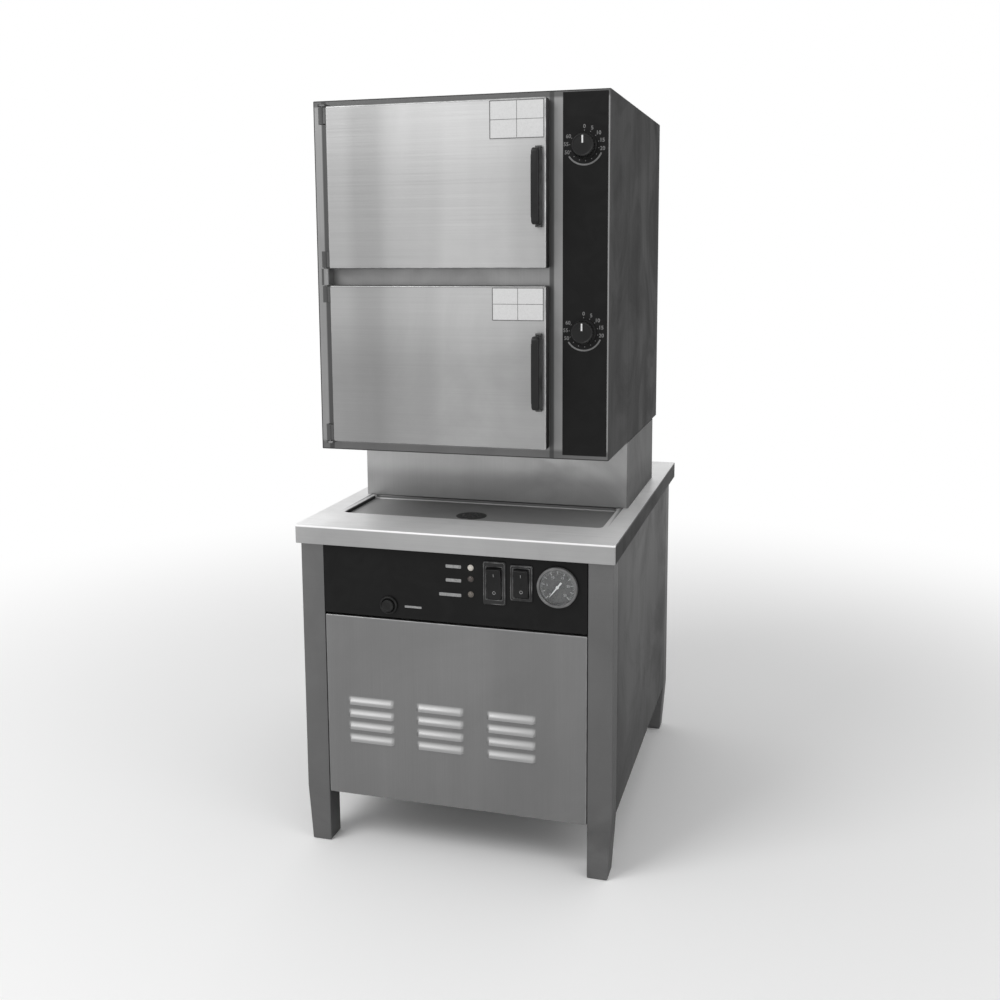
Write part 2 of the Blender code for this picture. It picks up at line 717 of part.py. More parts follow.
def build_counter():
    """The counter: a skin with a deep fascia and a sunk drip tray, and its drain."""
    half = COUNTER_WIDTH / 2
    edge_y = front(0)
    floor = COUNTER_TOP - TRAY_DEPTH
    counter = pan(
        "counter_top", (-half, edge_y, CABINET_TOP), (half, -edge_y, COUNTER_TOP),
        COUNTER_SHEET, ((0, 0, -1),), "counter_steel", COUNTER_EDGE
    )
    tray_low = (-TRAY_HALF_WIDTH, front(TRAY_SETBACK), floor)
    tray_high = (TRAY_HALF_WIDTH, front(TRAY_SETBACK + TRAY_LENGTH), COUNTER_TOP + OVERRUN)
    sheet = COUNTER_SHEET
    join(counter, box_tool(
        "tray_stock", Vector(tray_low) - Vector((sheet, sheet, sheet)),
        (tray_high[0] + sheet, tray_high[1] + sheet, COUNTER_TOP - sheet / 2)
    ))
    recess = box_tool("tray_recess", tray_low, tray_high)
    ease(recess, COUNTER_EDGE)
    cut(counter, recess)
    drain_place = (DRAIN_X, front(DRAIN_SETBACK), floor)
    cut(counter, cylinder_tool("tray_drain_bore", DRAIN_BORE, 2 * OVERRUN, drain_place))
    opening_low = (-SERVICE_OPENING_HALF_WIDTH, front(SERVICE_OPENING_SETBACK))
    opening_high = (
        SERVICE_OPENING_HALF_WIDTH, front(SERVICE_OPENING_SETBACK + SERVICE_OPENING_LENGTH)
    )
    cut(counter, box_tool(
        "counter_service_opening", (*opening_low, floor - OVERRUN),
        (*opening_high, COUNTER_TOP + OVERRUN)
    ))
    strainer_floor = floor + GAP
    strainer = turned(
        "drain_strainer",
        [
            (0, STRAINER_SHEET), (STRAINER_RADIUS - STRAINER_SHEET, STRAINER_SHEET),
            (STRAINER_RADIUS, 0), (0, 0)
        ],
        "counter_steel", (DRAIN_X, front(DRAIN_SETBACK), strainer_floor)
    )
    holes = [(0, 0, 0)]
    for ring, count in enumerate(STRAINER_RINGS, 1):
        for spot in range(count):
            angle = 2 * pi * spot / count
            reach = STRAINER_RING_PITCH * ring
            holes.append((reach * cos(angle), reach * sin(angle), 0))
    punch = cylinder_mesh(
        "strainer_punch", STRAINER_HOLE, 2 * OVERRUN, STRAINER_HOLE_SIDES
    )
    cut(strainer, add_tool(
        "strainer_holes", repeated("strainer_holes", punch, holes),
        (DRAIN_X, front(DRAIN_SETBACK), strainer_floor)
    ))
    drop = [
        (DRAIN_X, front(DRAIN_SETBACK), floor - COUNTER_SHEET - GAP),
        (DRAIN_X, front(DRAIN_SETBACK), DRAIN_HOSE_LEVEL),
        (DRAIN_X, front(DRAIN_BOX_SETBACK) - DRAIN_BOX_DEPTH / 2 - GAP, DRAIN_HOSE_LEVEL)
    ]
    pipe("tray_drain_pipe", drop, DRAIN_BORE, COUNTER_SHEET, "brushed_steel", DRAIN_BEND)


def louvre_places():
    """Centres of the louvres on the panel's face, as (x, z)."""
    for column in range(LOUVRE_COLUMNS):
        for row in range(LOUVRE_ROWS):
            across = (column - (LOUVRE_COLUMNS - 1) / 2) * LOUVRE_COLUMN_PITCH
            up = ((LOUVRE_ROWS - 1) / 2 - row) * LOUVRE_ROW_PITCH
            yield LOUVRE_FIELD_X + across, LOUVRE_FIELD_Z + up


def build_front_panels():
    """The louvred access panel, its hoods pressed forward and open below, and the black panel."""
    half = LEG_INNER - PANEL_REVEAL
    back = CABINET_FRONT + FRONT_PANEL_FLANGE
    louvred = pan(
        "louvred_front_panel", (-half, CABINET_FRONT, FRONT_PANEL_BOTTOM),
        (half, back, FRONT_PANEL_TOP), PANEL_SHEET, ((0, 1, 0),), "painted_steel", PANEL_EDGE
    )
    rise, tall, sheet = LOUVRE_RISE, LOUVRE_HEIGHT / 2, LOUVRE_SHEET
    nose = tall - LOUVRE_NOSE
    hood = [(-sheet / 2, tall), (rise, -nose), (rise, -tall), (-sheet / 2, -tall)]
    hollow = [
        (-OVERRUN, tall - 2 * sheet), (-sheet, tall - 2 * sheet),
        (rise - sheet, -nose - sheet), (rise - sheet, -tall - sheet),
        (GAP, -tall - sheet), (GAP, -tall), (-OVERRUN, -tall)
    ]
    spots = [(across, 0, up) for across, up in louvre_places()]
    stock = outline_mesh("louvre_hood", hood, LOUVRE_WIDTH, SIDE_VIEW)
    waste = outline_mesh("louvre_slot", hollow, LOUVRE_WIDTH - 2 * sheet, SIDE_VIEW)
    face = (0, CABINET_FRONT, 0)
    join(louvred, add_tool("louvre_hoods", repeated("louvre_hoods", stock, spots), face))
    cut(louvred, add_tool("louvre_slots", repeated("louvre_slots", waste, spots), face))
    panel = pan(
        "lower_control_panel", (-half, CABINET_FRONT, CONTROL_PANEL_BOTTOM),
        (half, back, CABINET_TOP - GAP), PANEL_SHEET, ((0, 1, 0),), "black_panel", PANEL_EDGE
    )
    cut(panel, cylinder_tool(
        "gauge_hole", GAUGE_BODY_RADIUS + GAP, 2 * OVERRUN, (GAUGE_X, CABINET_FRONT, GAUGE_Z), "-Y"
    ))
    for number, height in enumerate(LIGHT_HEIGHTS, 1):
        cut(panel, cylinder_tool(
            "light_hole_" + str(number), LIGHT_RADIUS + GAP, 2 * OVERRUN,
            (LIGHT_X, CABINET_FRONT, height), "-Y", LIGHT_SIDES
        ))
    cut(panel, cylinder_tool(
        "reset_hole", RESET_BUTTON_RADIUS + RESET_CLEARANCE + RESET_WALL + GAP, 2 * OVERRUN,
        (RESET_X, CABINET_FRONT, RESET_Z), "-Y"
    ))
    for switch in SWITCHES:
        reach = ROCKER_CLEARANCE + SWITCH_BODY_WALL + GAP
        across, up = switch["rocker_width"] / 2 + reach, switch["rocker_height"] / 2 + reach
        cut(panel, box_tool(
            switch["name"] + "_cutout",
            (switch["x"] - across, CABINET_FRONT - OVERRUN, switch["z"] - up),
            (switch["x"] + across, CABINET_FRONT + OVERRUN, switch["z"] + up)
        ))


def build_gauge():
    """The pressure gauge: cup with a bezel rim, glass, and a needle on the cup's stem."""
    face = CABINET_FRONT - GAP
    place = (GAUGE_X, face, GAUGE_Z)
    dial = GAUGE_PROUD - GAUGE_DIAL_RECESS
    bore = GAUGE_RADIUS - GAUGE_RIM
    turned(
        "pressure_gauge_case",
        [
            (0, dial + GAUGE_STEM_HEIGHT), (GAUGE_STEM_RADIUS, dial + GAUGE_STEM_HEIGHT),
            (GAUGE_STEM_RADIUS, dial), (bore, dial), (bore, GAUGE_PROUD),
            (GAUGE_RADIUS - GAUGE_RIM / 2, GAUGE_PROUD), (GAUGE_RADIUS, GAUGE_PROUD / 2),
            (GAUGE_RADIUS, 0), (GAUGE_BODY_RADIUS, 0), (GAUGE_BODY_RADIUS, -GAUGE_BODY_DEPTH),
            (0, -GAUGE_BODY_DEPTH)
        ],
        "brushed_steel", place, "-Y"
    )
    lens_back = GAUGE_PROUD - GAUGE_LENS_THICKNESS - GAP
    turned(
        "gauge_lens",
        [
            (0, GAUGE_PROUD - GAP), (bore - GAP, GAUGE_PROUD - GAP), (bore - GAP, lens_back),
            (0, lens_back)
        ],
        "clear_glass", place, "-Y"
    )
    needle_back = dial + NEEDLE_LIFT
    hub = turned(
        "gauge_needle",
        [
            (GAUGE_STEM_RADIUS + GAP, needle_back + NEEDLE_HUB),
            (NEEDLE_HUB_RADIUS, needle_back + NEEDLE_HUB), (NEEDLE_HUB_RADIUS, needle_back),
            (GAUGE_STEM_RADIUS + GAP, needle_back)
        ],
        "white_enamel", (0, 0, 0), "-Y", closed=True
    )
    hub.parent = add_pivot("gauge_needle_axis", place)
    half = NEEDLE_WIDTH / 2
    inner = GAUGE_STEM_RADIUS + 2 * GAP
    for name, reach, tip in (("pointer", NEEDLE_LENGTH, half / 2), ("tail", -NEEDLE_TAIL, half)):
        start = inner if reach > 0 else -inner
        blade = outline_mesh(
            "needle_" + name, [(-half, start), (half, start), (tip, reach), (-tip, reach)],
            NEEDLE_THICKNESS, FRONT_VIEW
        )
        tool = add_tool("needle_" + name, blade, (
            place[0], face - needle_back - NEEDLE_THICKNESS, place[2]
        ))
        tool.rotation_euler = (0, radians(NEEDLE_REST_DEG), 0)
        join(hub, tool)


def build_lights():
    """Three small indicator lights, each a flanged lens that fills its hole."""
    for number, height in enumerate(LIGHT_HEIGHTS, 1):
        turned(
            "indicator_light_" + str(number),
            [
                (0, LIGHT_PROUD), (LIGHT_RADIUS / 2, LIGHT_PROUD), (LIGHT_RADIUS, LIGHT_PROUD / 2),
                (LIGHT_FLANGE, LIGHT_PROUD / 3), (LIGHT_FLANGE, 0), (LIGHT_RADIUS, 0),
                (LIGHT_RADIUS, -LIGHT_BODY), (0, -LIGHT_BODY)
            ],
            "amber_lens", (LIGHT_X, CABINET_FRONT - GAP, height), "-Y", steps=LIGHT_SIDES
        )


def build_switch(switch):
    """A rocker switch: a bezel with its socket behind the panel, and the tilting rocker."""
    x, z = switch["x"], switch["z"]
    face = CABINET_FRONT - GAP
    half_width, half_height = switch["width"] / 2, switch["height"] / 2
    across = switch["rocker_width"] / 2 + ROCKER_CLEARANCE
    up = switch["rocker_height"] / 2 + ROCKER_CLEARANCE
    wall = SWITCH_BODY_WALL
    bezel = box(
        switch["name"] + "_bezel",
        (x - half_width, face - BEZEL_PROUD, z - half_height),
        (x + half_width, face, z + half_height), "black_plastic", BEZEL_EDGE
    )
    join(bezel, box_tool(
        switch["name"] + "_socket",
        (x - across - wall, face - BEZEL_PROUD / 2, z - up - wall),
        (x + across + wall, face + SWITCH_BODY_DEPTH, z + up + wall)
    ))
    cut(bezel, box_tool(
        switch["name"] + "_well",
        (x - across, face - BEZEL_PROUD - OVERRUN, z - up),
        (x + across, face + SWITCH_BODY_DEPTH - wall, z + up)
    ))
    half = switch["rocker_height"] / 2
    crown, back = BEZEL_PROUD + ROCKER_PROUD, -ROCKER_BODY
    outline = [
        (crown, half - ROCKER_CLEARANCE), (crown - ROCKER_DISH, half / 3),
        (crown - ROCKER_DISH, -half / 3), (crown, ROCKER_CLEARANCE - half),
        (back / 2, -half), (back, -half / 3), (back, half / 3), (back / 2, half)
    ]
    mesh = outline_mesh(switch["name"] + "_rocker", outline, switch["rocker_width"], SIDE_VIEW)
    pivot = add_pivot(switch["name"] + "_axis", (x, face, z))
    rocker = add(switch["name"] + "_rocker", mesh, "black_plastic", parent=pivot)
    rocker.rotation_euler = (radians(ROCKER_REST_DEG), 0, 0)
    ease(rocker, BEZEL_EDGE / 2)
    for way in (-1, 1):
        join(bezel, cylinder_tool(
            switch["name"] + "_trunnion_" + ("left" if way < 0 else "right"),
            ROCKER_TRUNNION, 2 * ROCKER_CLEARANCE - 2 * GAP,
            (x + way * across, face, z), "X", LIGHT_SIDES
        ))


def build_reset_button():
    """The round reset button in its threaded collar."""
    face = CABINET_FRONT - GAP
    place = (RESET_X, face, RESET_Z)
    bore = RESET_BUTTON_RADIUS + RESET_CLEARANCE
    turned(
        "reset_button_collar",
        [
            (0, RESET_WALL - RESET_BODY), (bore, RESET_WALL - RESET_BODY), (bore, RESET_PROUD),
            (RESET_RADIUS - RESET_WALL / 2, RESET_PROUD), (RESET_RADIUS, RESET_PROUD / 2),
            (RESET_RADIUS, 0), (bore + RESET_WALL, 0), (bore + RESET_WALL, -RESET_BODY),
            (0, -RESET_BODY)
        ],
        "black_plastic", place, "-Y"
    )
    top = RESET_PROUD + RESET_BUTTON_PROUD
    turned(
        "reset_button",
        [
            (0, top), (RESET_BUTTON_RADIUS - RESET_WALL / 2, top),
            (RESET_BUTTON_RADIUS, top - RESET_WALL / 2),
            (RESET_BUTTON_RADIUS, RESET_TRAVEL + RESET_WALL - RESET_BODY + GAP),
            (0, RESET_TRAVEL + RESET_WALL - RESET_BODY + GAP)
        ],
        "black_plastic", place, "-Y"
    )


def build_pedestal():
    """The hollow pedestal that carries the head and hides its pipes."""
    pan(
        "pedestal",
        (-HEAD_HALF_WIDTH, front(PEDESTAL_SETBACK), COUNTER_TOP + GAP),
        (HEAD_HALF_WIDTH, front(PEDESTAL_SETBACK + PEDESTAL_DEPTH), HEAD_BOTTOM - GAP),
        PEDESTAL_SHEET, ((0, 0, 1), (0, 0, -1)), "brushed_steel", HEAD_EDGE
    )


def build_head_shell():
    """Casing wrap, back, front frame and the black control strip of the head."""
    casing = pan(
        "head_casing", (-HEAD_HALF_WIDTH, HEAD_FRONT, HEAD_BOTTOM),
        (HEAD_HALF_WIDTH, HEAD_BACK, HEAD_TOP), HEAD_SHEET, ((0, -1, 0), (0, 1, 0)),
        "casing_steel", HEAD_EDGE
    )
    cut(casing, box_tool(
        "casing_service_opening",
        (-SERVICE_OPENING_HALF_WIDTH, front(SERVICE_OPENING_SETBACK), HEAD_BOTTOM - OVERRUN),
        (
            SERVICE_OPENING_HALF_WIDTH, front(SERVICE_OPENING_SETBACK + SERVICE_OPENING_LENGTH),
            HEAD_BOTTOM + OVERRUN
        )
    ))
    inset = HEAD_SHEET + GAP
    pan(
        "head_rear_panel",
        (-HEAD_HALF_WIDTH + inset, HEAD_BACK - PANEL_FLANGE, HEAD_BOTTOM + inset),
        (HEAD_HALF_WIDTH - inset, HEAD_BACK - GAP, HEAD_TOP - inset),
        HEAD_SHEET, ((0, -1, 0),), "casing_steel", HEAD_EDGE
    )
    frame = pan(
        "head_front_frame",
        (-HEAD_HALF_WIDTH + inset, HEAD_FRONT, HEAD_BOTTOM + inset),
        (HEAD_HALF_WIDTH - inset, HEAD_FRONT + FRAME_FLANGE, HEAD_TOP - inset),
        FRAME_SHEET, ((0, 1, 0),), "brushed_steel"
    )
    mouth_half = CAVITY_OUTER_WIDTH / 2 + GAP
    mouth_rise = CAVITY_OUTER_HEIGHT / 2 + GAP
    for level, centre in zip(LEVELS, DOOR_CENTRES):
        mouth = box_tool(
            level + "_mouth",
            (CAVITY_CENTRE_X - mouth_half, HEAD_FRONT - OVERRUN, centre - mouth_rise),
            (CAVITY_CENTRE_X + mouth_half, HEAD_FRONT + FRAME_FLANGE + OVERRUN, centre + mouth_rise)
        )
        round_depth_edges(mouth, CAVITY_EDGE + GAP)
        cut(frame, mouth)
    strip = box(
        "control_strip", (STRIP_LEFT, STRIP_FRONT, STRIP_BOTTOM),
        (STRIP_RIGHT, HEAD_FRONT - GAP, STRIP_TOP), "black_panel", PANEL_EDGE / 2
    )
    for level, centre in zip(LEVELS, DOOR_CENTRES):
        hole = cylinder_tool(
            level + "_shaft_hole", TIMER_BUSH_RADIUS + GAP, 2 * OVERRUN,
            (KNOB_X, HEAD_FRONT, centre + KNOB_RISE), "-Y"
        )
        cut(strip, hole)
        cut(frame, hole)


def round_depth_edges(tool, width):
    """Round the edges of a box that run front to back, before any later modifier."""
    shape = bmesh.new()
    shape.from_mesh(tool.data)
    runs = [
        edge for edge in shape.edges
        if abs((edge.verts[0].co - edge.verts[1].co).normalized().y) > SAME_WAY
    ]
    bmesh.ops.bevel(
        shape, geom=runs, offset=width, offset_type="OFFSET", segments=COVE_SEGMENTS,
        profile=ROUND_PROFILE, affect="EDGES"
    )
    shape.to_mesh(tool.data)
    shape.free()


def build_cavity(level, centre):
    """One cooking compartment: a coved box open in front, with its pan guides."""
    half, rise = CAVITY_OUTER_WIDTH / 2, CAVITY_OUTER_HEIGHT / 2
    low = (CAVITY_CENTRE_X - half, HEAD_FRONT, centre - rise)
    high = (CAVITY_CENTRE_X + half, CAVITY_BACK, centre + rise)
    liner = pan(level + "_compartment", low, high, CAVITY_SHEET, (), "brushed_steel")
    round_depth_edges(liner, CAVITY_EDGE)
    shape = bmesh.new()
    shape.from_mesh(liner.data)
    mouth = [face for face in shape.faces if face.normal.y < -SAME_WAY]
    bmesh.ops.delete(shape, geom=mouth, context="FACES")
    shape.to_mesh(liner.data)
    shape.free()
    outlet = front(CAVITY_DRAIN_SETBACK)
    if level == "lower":
        cut(liner, cylinder_tool(
            "compartment_drain_bore", DRAIN_PIPE_RADIUS, 2 * OVERRUN,
            (CAVITY_DRAIN_X, outlet, centre - rise)
        ))
    cut(liner, cylinder_tool(
        level + "_steam_inlet", STEAM_PIPE_RADIUS - STEAM_PIPE_WALL, 2 * OVERRUN,
        (BOILER_X + RISER_FROM_BOILER[level], CAVITY_BACK, centre + STEAM_INLET_RISE), "-Y"
    ))
    sheet = GUIDE_SHEET
    for side, side_name in ((-1, "left"), (1, "right")):
        outline = [(0, 0)]
        for shelf in range(GUIDE_COUNT):
            seat = GUIDE_FIRST - CAVITY_EDGE + shelf * GUIDE_PITCH
            outline += [(sheet, seat), (GUIDE_LEDGE, seat), (GUIDE_LEDGE, seat + sheet)]
            outline += [(sheet, seat + sheet)]
        top = CAVITY_HEIGHT - 2 * CAVITY_EDGE
        outline = [(0, 0), (sheet, 0), *outline[1:], (sheet, top), (0, top)]
        wall_x = CAVITY_CENTRE_X + side * (CAVITY_WIDTH / 2 - GAP)
        points = [(wall_x - side * across, up) for across, up in outline]
        mesh = outline_mesh(
            level + "_guide_" + side_name, points[::side], GUIDE_LENGTH, FRONT_VIEW
        )
        add(
            level + "_pan_guide_" + side_name, mesh, "brushed_steel",
            (
                0, HEAD_FRONT + GUIDE_FRONT + GUIDE_LENGTH / 2,
                centre - CAVITY_HEIGHT / 2 + CAVITY_EDGE
            )
        )


def build_hinge_brackets():
    """Three brackets on the front frame, with the pins that the doors turn on."""
    upper, lower = DOOR_CENTRES
    half = DOOR_HEIGHT / 2
    between = (upper - half) - (lower + half) - 2 * GAP
    rows = (
        ("top", upper + half + GAP, BRACKET_THICKNESS, (-1,)),
        ("middle", lower + half + GAP, between, (-1, 1)),
        ("bottom", lower - half - GAP - BRACKET_THICKNESS, BRACKET_THICKNESS, (1,)),
    )
    for name, low_z, tall, ways in rows:
        bracket = box(
            name + "_hinge_bracket",
            (HINGE_X - BRACKET_RADIUS, HINGE_Y, low_z),
            (HINGE_X + BRACKET_RADIUS, HEAD_FRONT - GAP, low_z + tall), "casing_steel"
        )
        join(bracket, cylinder_tool(
            name + "_bracket_nose", BRACKET_RADIUS + GAP, tall - GAP,
            (HINGE_X, HINGE_Y, low_z + tall / 2)
        ))
        for way in ways:
            root = low_z + (tall if way > 0 else 0)
            join(bracket, cylinder_tool(
                name + "_hinge_pin_" + ("up" if way > 0 else "down"), HINGE_PIN_RADIUS,
                HINGE_PIN_LENGTH + BRACKET_THICKNESS,
                (HINGE_X, HINGE_Y, root + way * (HINGE_PIN_LENGTH - BRACKET_THICKNESS) / 2),
                sides=HINGE_SIDES
            ))


def build_door(level, centre):
    """A door: outer pan with pivot blocks and handle ears, inner pan, and gasket."""
    axis = add_pivot(level + "_door_axis", (HINGE_X, HINGE_Y, centre))
    half = DOOR_HEIGHT / 2
    shell = pan(
        level + "_door_shell", (DOOR_LEFT, DOOR_FRONT, centre - half),
        (DOOR_RIGHT, DOOR_BACK, centre + half), DOOR_SHEET, ((0, 1, 0),),
        "brushed_steel", DOOR_EDGE
    )
    web = HINGE_BLOCK_RADIUS - GAP
    cheek = HANDLE_EAR_RADIUS - GAP
    for way, end in ((-1, "bottom"), (1, "top")):
        outer = centre + way * (half - DOOR_EDGE)
        inner = outer - way * HINGE_BLOCK_LENGTH
        middle = (outer + inner) / 2
        low_z, high_z = min(outer, inner), max(outer, inner)
        join(shell, cylinder_tool(
            level + "_pivot_block_" + end, HINGE_BLOCK_RADIUS, HINGE_BLOCK_LENGTH,
            (HINGE_X, HINGE_Y, middle), sides=HINGE_SIDES
        ))
        join(shell, box_tool(
            level + "_pivot_web_" + end,
            (HINGE_X, HINGE_Y - web, low_z + GAP),
            (DOOR_LEFT + DOOR_SHEET / 2, HINGE_Y + web, high_z - GAP)
        ))
        bore = HINGE_PIN_LENGTH + HINGE_PIN_RADIUS
        cut(shell, cylinder_tool(
            level + "_pivot_bore_" + end, HINGE_PIN_RADIUS + HINGE_PIN_CLEARANCE, 2 * bore,
            (HINGE_X, HINGE_Y, outer), sides=HINGE_SIDES
        ))
        ear_z = centre - HANDLE_DROP + way * (HANDLE_HEIGHT / 2 + GAP + HANDLE_EAR_THICKNESS / 2)
        join(shell, box_tool(
            level + "_handle_ear_" + end,
            (HANDLE_PIVOT_X - cheek, HANDLE_PIVOT_Y, ear_z - HANDLE_EAR_THICKNESS / 2 + GAP),
            (
                HANDLE_PIVOT_X + cheek, DOOR_FRONT + DOOR_SHEET / 2,
                ear_z + HANDLE_EAR_THICKNESS / 2 - GAP
            )
        ))
        join(shell, cylinder_tool(
            level + "_handle_ear_nose_" + end, HANDLE_EAR_RADIUS, HANDLE_EAR_THICKNESS,
            (HANDLE_PIVOT_X, HANDLE_PIVOT_Y, ear_z), sides=HINGE_SIDES
        ))
        join(shell, cylinder_tool(
            level + "_handle_pin_" + end, HANDLE_PIVOT_RADIUS,
            HANDLE_PIN_LENGTH + HANDLE_EAR_THICKNESS,
            (
                HANDLE_PIVOT_X, HANDLE_PIVOT_Y,
                ear_z - way * HANDLE_PIN_LENGTH / 2
            ),
            sides=HINGE_SIDES
        ))
    inset = DOOR_SHEET + GAP
    liner = pan(
        level + "_door_liner",
        (DOOR_LEFT + inset, DOOR_BACK - LINER_DEPTH, centre - half + inset),
        (DOOR_RIGHT - inset, DOOR_BACK, centre + half - inset), DOOR_SHEET, ((0, -1, 0),),
        "brushed_steel", DOOR_EDGE
    )
    outer_half = CAVITY_OUTER_WIDTH / 2 + GASKET_OUTSET
    outer_rise = CAVITY_OUTER_HEIGHT / 2 + GASKET_OUTSET
    gasket = box(
        level + "_door_gasket",
        (CAVITY_CENTRE_X - outer_half, HEAD_FRONT - GAP - GASKET_THICKNESS, centre - outer_rise),
        (CAVITY_CENTRE_X + outer_half, HEAD_FRONT - GAP, centre + outer_rise), "silicone"
    )
    round_depth_edges(gasket, CAVITY_EDGE)
    window = box_tool(
        level + "_gasket_window",
        (
            CAVITY_CENTRE_X - outer_half + GASKET_WIDTH, HEAD_FRONT - OVERRUN,
            centre - outer_rise + GASKET_WIDTH
        ),
        (
            CAVITY_CENTRE_X + outer_half - GASKET_WIDTH, HEAD_FRONT + OVERRUN,
            centre + outer_rise - GASKET_WIDTH
        )
    )
    round_depth_edges(window, CAVITY_EDGE / 2)
    cut(gasket, window)
    for piece in (shell, liner, gasket):
        hang(piece, axis)
    return axis


def hang(piece, pivot):
    """Parent a piece to the empty on its joint axis, keeping its world place."""
    piece.parent = pivot
    piece.location = Vector(piece.location) - Vector(pivot.location)


def build_handle(level, centre, door_axis):
    """The black handle lever: a moulded grip with a finger hollow, bored for the door's pins."""
    middle = centre - HANDLE_DROP
    half = HANDLE_HEIGHT / 2
    left, right = HANDLE_X - HANDLE_WIDTH / 2, HANDLE_X + HANDLE_WIDTH / 2
    grip = box(
        level + "_door_handle",
        (left, DOOR_FRONT - HANDLE_REACH, middle - half),
        (right, DOOR_FRONT - HANDLE_REST_GAP, middle + half),
        "black_plastic", HANDLE_EDGE
    )
    cut(grip, box_tool(
        level + "_finger_hollow",
        (
            left - OVERRUN, DOOR_FRONT - HANDLE_REACH + HANDLE_WALL,
            middle - HANDLE_FINGER_HEIGHT / 2
        ),
        (right - HANDLE_WALL, DOOR_FRONT + OVERRUN, middle + HANDLE_FINGER_HEIGHT / 2)
    ))
    for way, end in ((-1, "bottom"), (1, "top")):
        cut(grip, cylinder_tool(
            level + "_handle_bore_" + end, HANDLE_PIVOT_RADIUS + GAP,
            2 * (HANDLE_PIN_LENGTH + GAP),
            (HANDLE_PIVOT_X, HANDLE_PIVOT_Y, middle + way * half), sides=HINGE_SIDES
        ))
    pivot = add_pivot(level + "_handle_axis", (0, 0, 0))
    pivot.parent = door_axis
    pivot.location = Vector((HANDLE_PIVOT_X, HANDLE_PIVOT_Y, middle)) - door_axis.location
    grip.parent = pivot
    grip.location = Vector(grip.location) - Vector((HANDLE_PIVOT_X, HANDLE_PIVOT_Y, middle))


def build_timer(level, centre):
    """A spring-wound timer behind the strip, with its bush and shaft, and its knob in front."""
    height = centre + KNOB_RISE
    back_face = HEAD_FRONT + FRAME_SHEET + GAP
    half = TIMER_BODY / 2
    body = box(
        level + "_timer", (KNOB_X - half, back_face, height - half),
        (KNOB_X + half, back_face + TIMER_DEPTH, height + half), "brushed_steel", PANEL_EDGE
    )
    bush_front = STRIP_FRONT + GAP
    join(body, cylinder_tool(
        level + "_timer_bush", TIMER_BUSH_RADIUS, back_face + OVERRUN - bush_front,
        (KNOB_X, (back_face + OVERRUN + bush_front) / 2, height), "-Y"
    ))
    shaft_front = STRIP_FRONT - KNOB_BORE_DEPTH + GAP
    join(body, cylinder_tool(
        level + "_timer_shaft", TIMER_SHAFT_RADIUS, back_face + OVERRUN - shaft_front,
        (KNOB_X, (back_face + OVERRUN + shaft_front) / 2, height), "-Y", HINGE_SIDES
    ))
    pivot = add_pivot(level + "_knob_axis", (KNOB_X, STRIP_FRONT - GAP, height))
    knob = turned(
        level + "_timer_knob",
        [
            (0, KNOB_HEIGHT), (KNOB_RADIUS - KNOB_TAPER - KNOB_CHAMFER, KNOB_HEIGHT),
            (KNOB_RADIUS - KNOB_TAPER, KNOB_HEIGHT - KNOB_CHAMFER), (KNOB_RADIUS, KNOB_SKIRT),
            (KNOB_SKIRT_RADIUS, KNOB_SKIRT), (KNOB_SKIRT_RADIUS, 0),
            (TIMER_SHAFT_RADIUS + SHAFT_CLEARANCE, 0),
            (TIMER_SHAFT_RADIUS + SHAFT_CLEARANCE, KNOB_BORE_DEPTH), (0, KNOB_BORE_DEPTH)
        ],
        "black_plastic", (0, 0, 0), "-Y", steps=KNOB_STEPS
    )
    knob.parent = pivot
    flute = cylinder_mesh("knob_flute", KNOB_FLUTE_RADIUS, 2 * KNOB_HEIGHT, KNOB_FLUTE_SIDES)
    flute.transform(Matrix.Rotation(pi / 2, 4, "X"))
    ring = []
    for number in range(KNOB_FLUTES):
        angle = 2 * pi * (number + 1 / 2) / KNOB_FLUTES
        ring.append((
            (KNOB_RADIUS + KNOB_TAPER / 2) * sin(angle), -KNOB_HEIGHT - KNOB_SKIRT - GAP,
            (KNOB_RADIUS + KNOB_TAPER / 2) * cos(angle)
        ))
    flutes = repeated("knob_flutes", flute, ring)
    cut(knob, add_tool(level + "_knob_flutes", flutes, pivot.location))


def vessel(name, radius, height, wall, port, rim, rim_height, shoulder, material, place):
    """A turned vessel with a flat floor, drawn in at the shoulder to a flanged port on top."""
    neck = height - rim_height
    return turned(
        name,
        [
            (0, wall), (radius - wall, wall), (radius - wall, neck - shoulder),
            (port, neck - wall), (port, height), (rim, height), (rim, neck),
            (port + wall, neck), (radius, neck - shoulder + wall), (radius, 0), (0, 0)
        ],
        material, place
    )


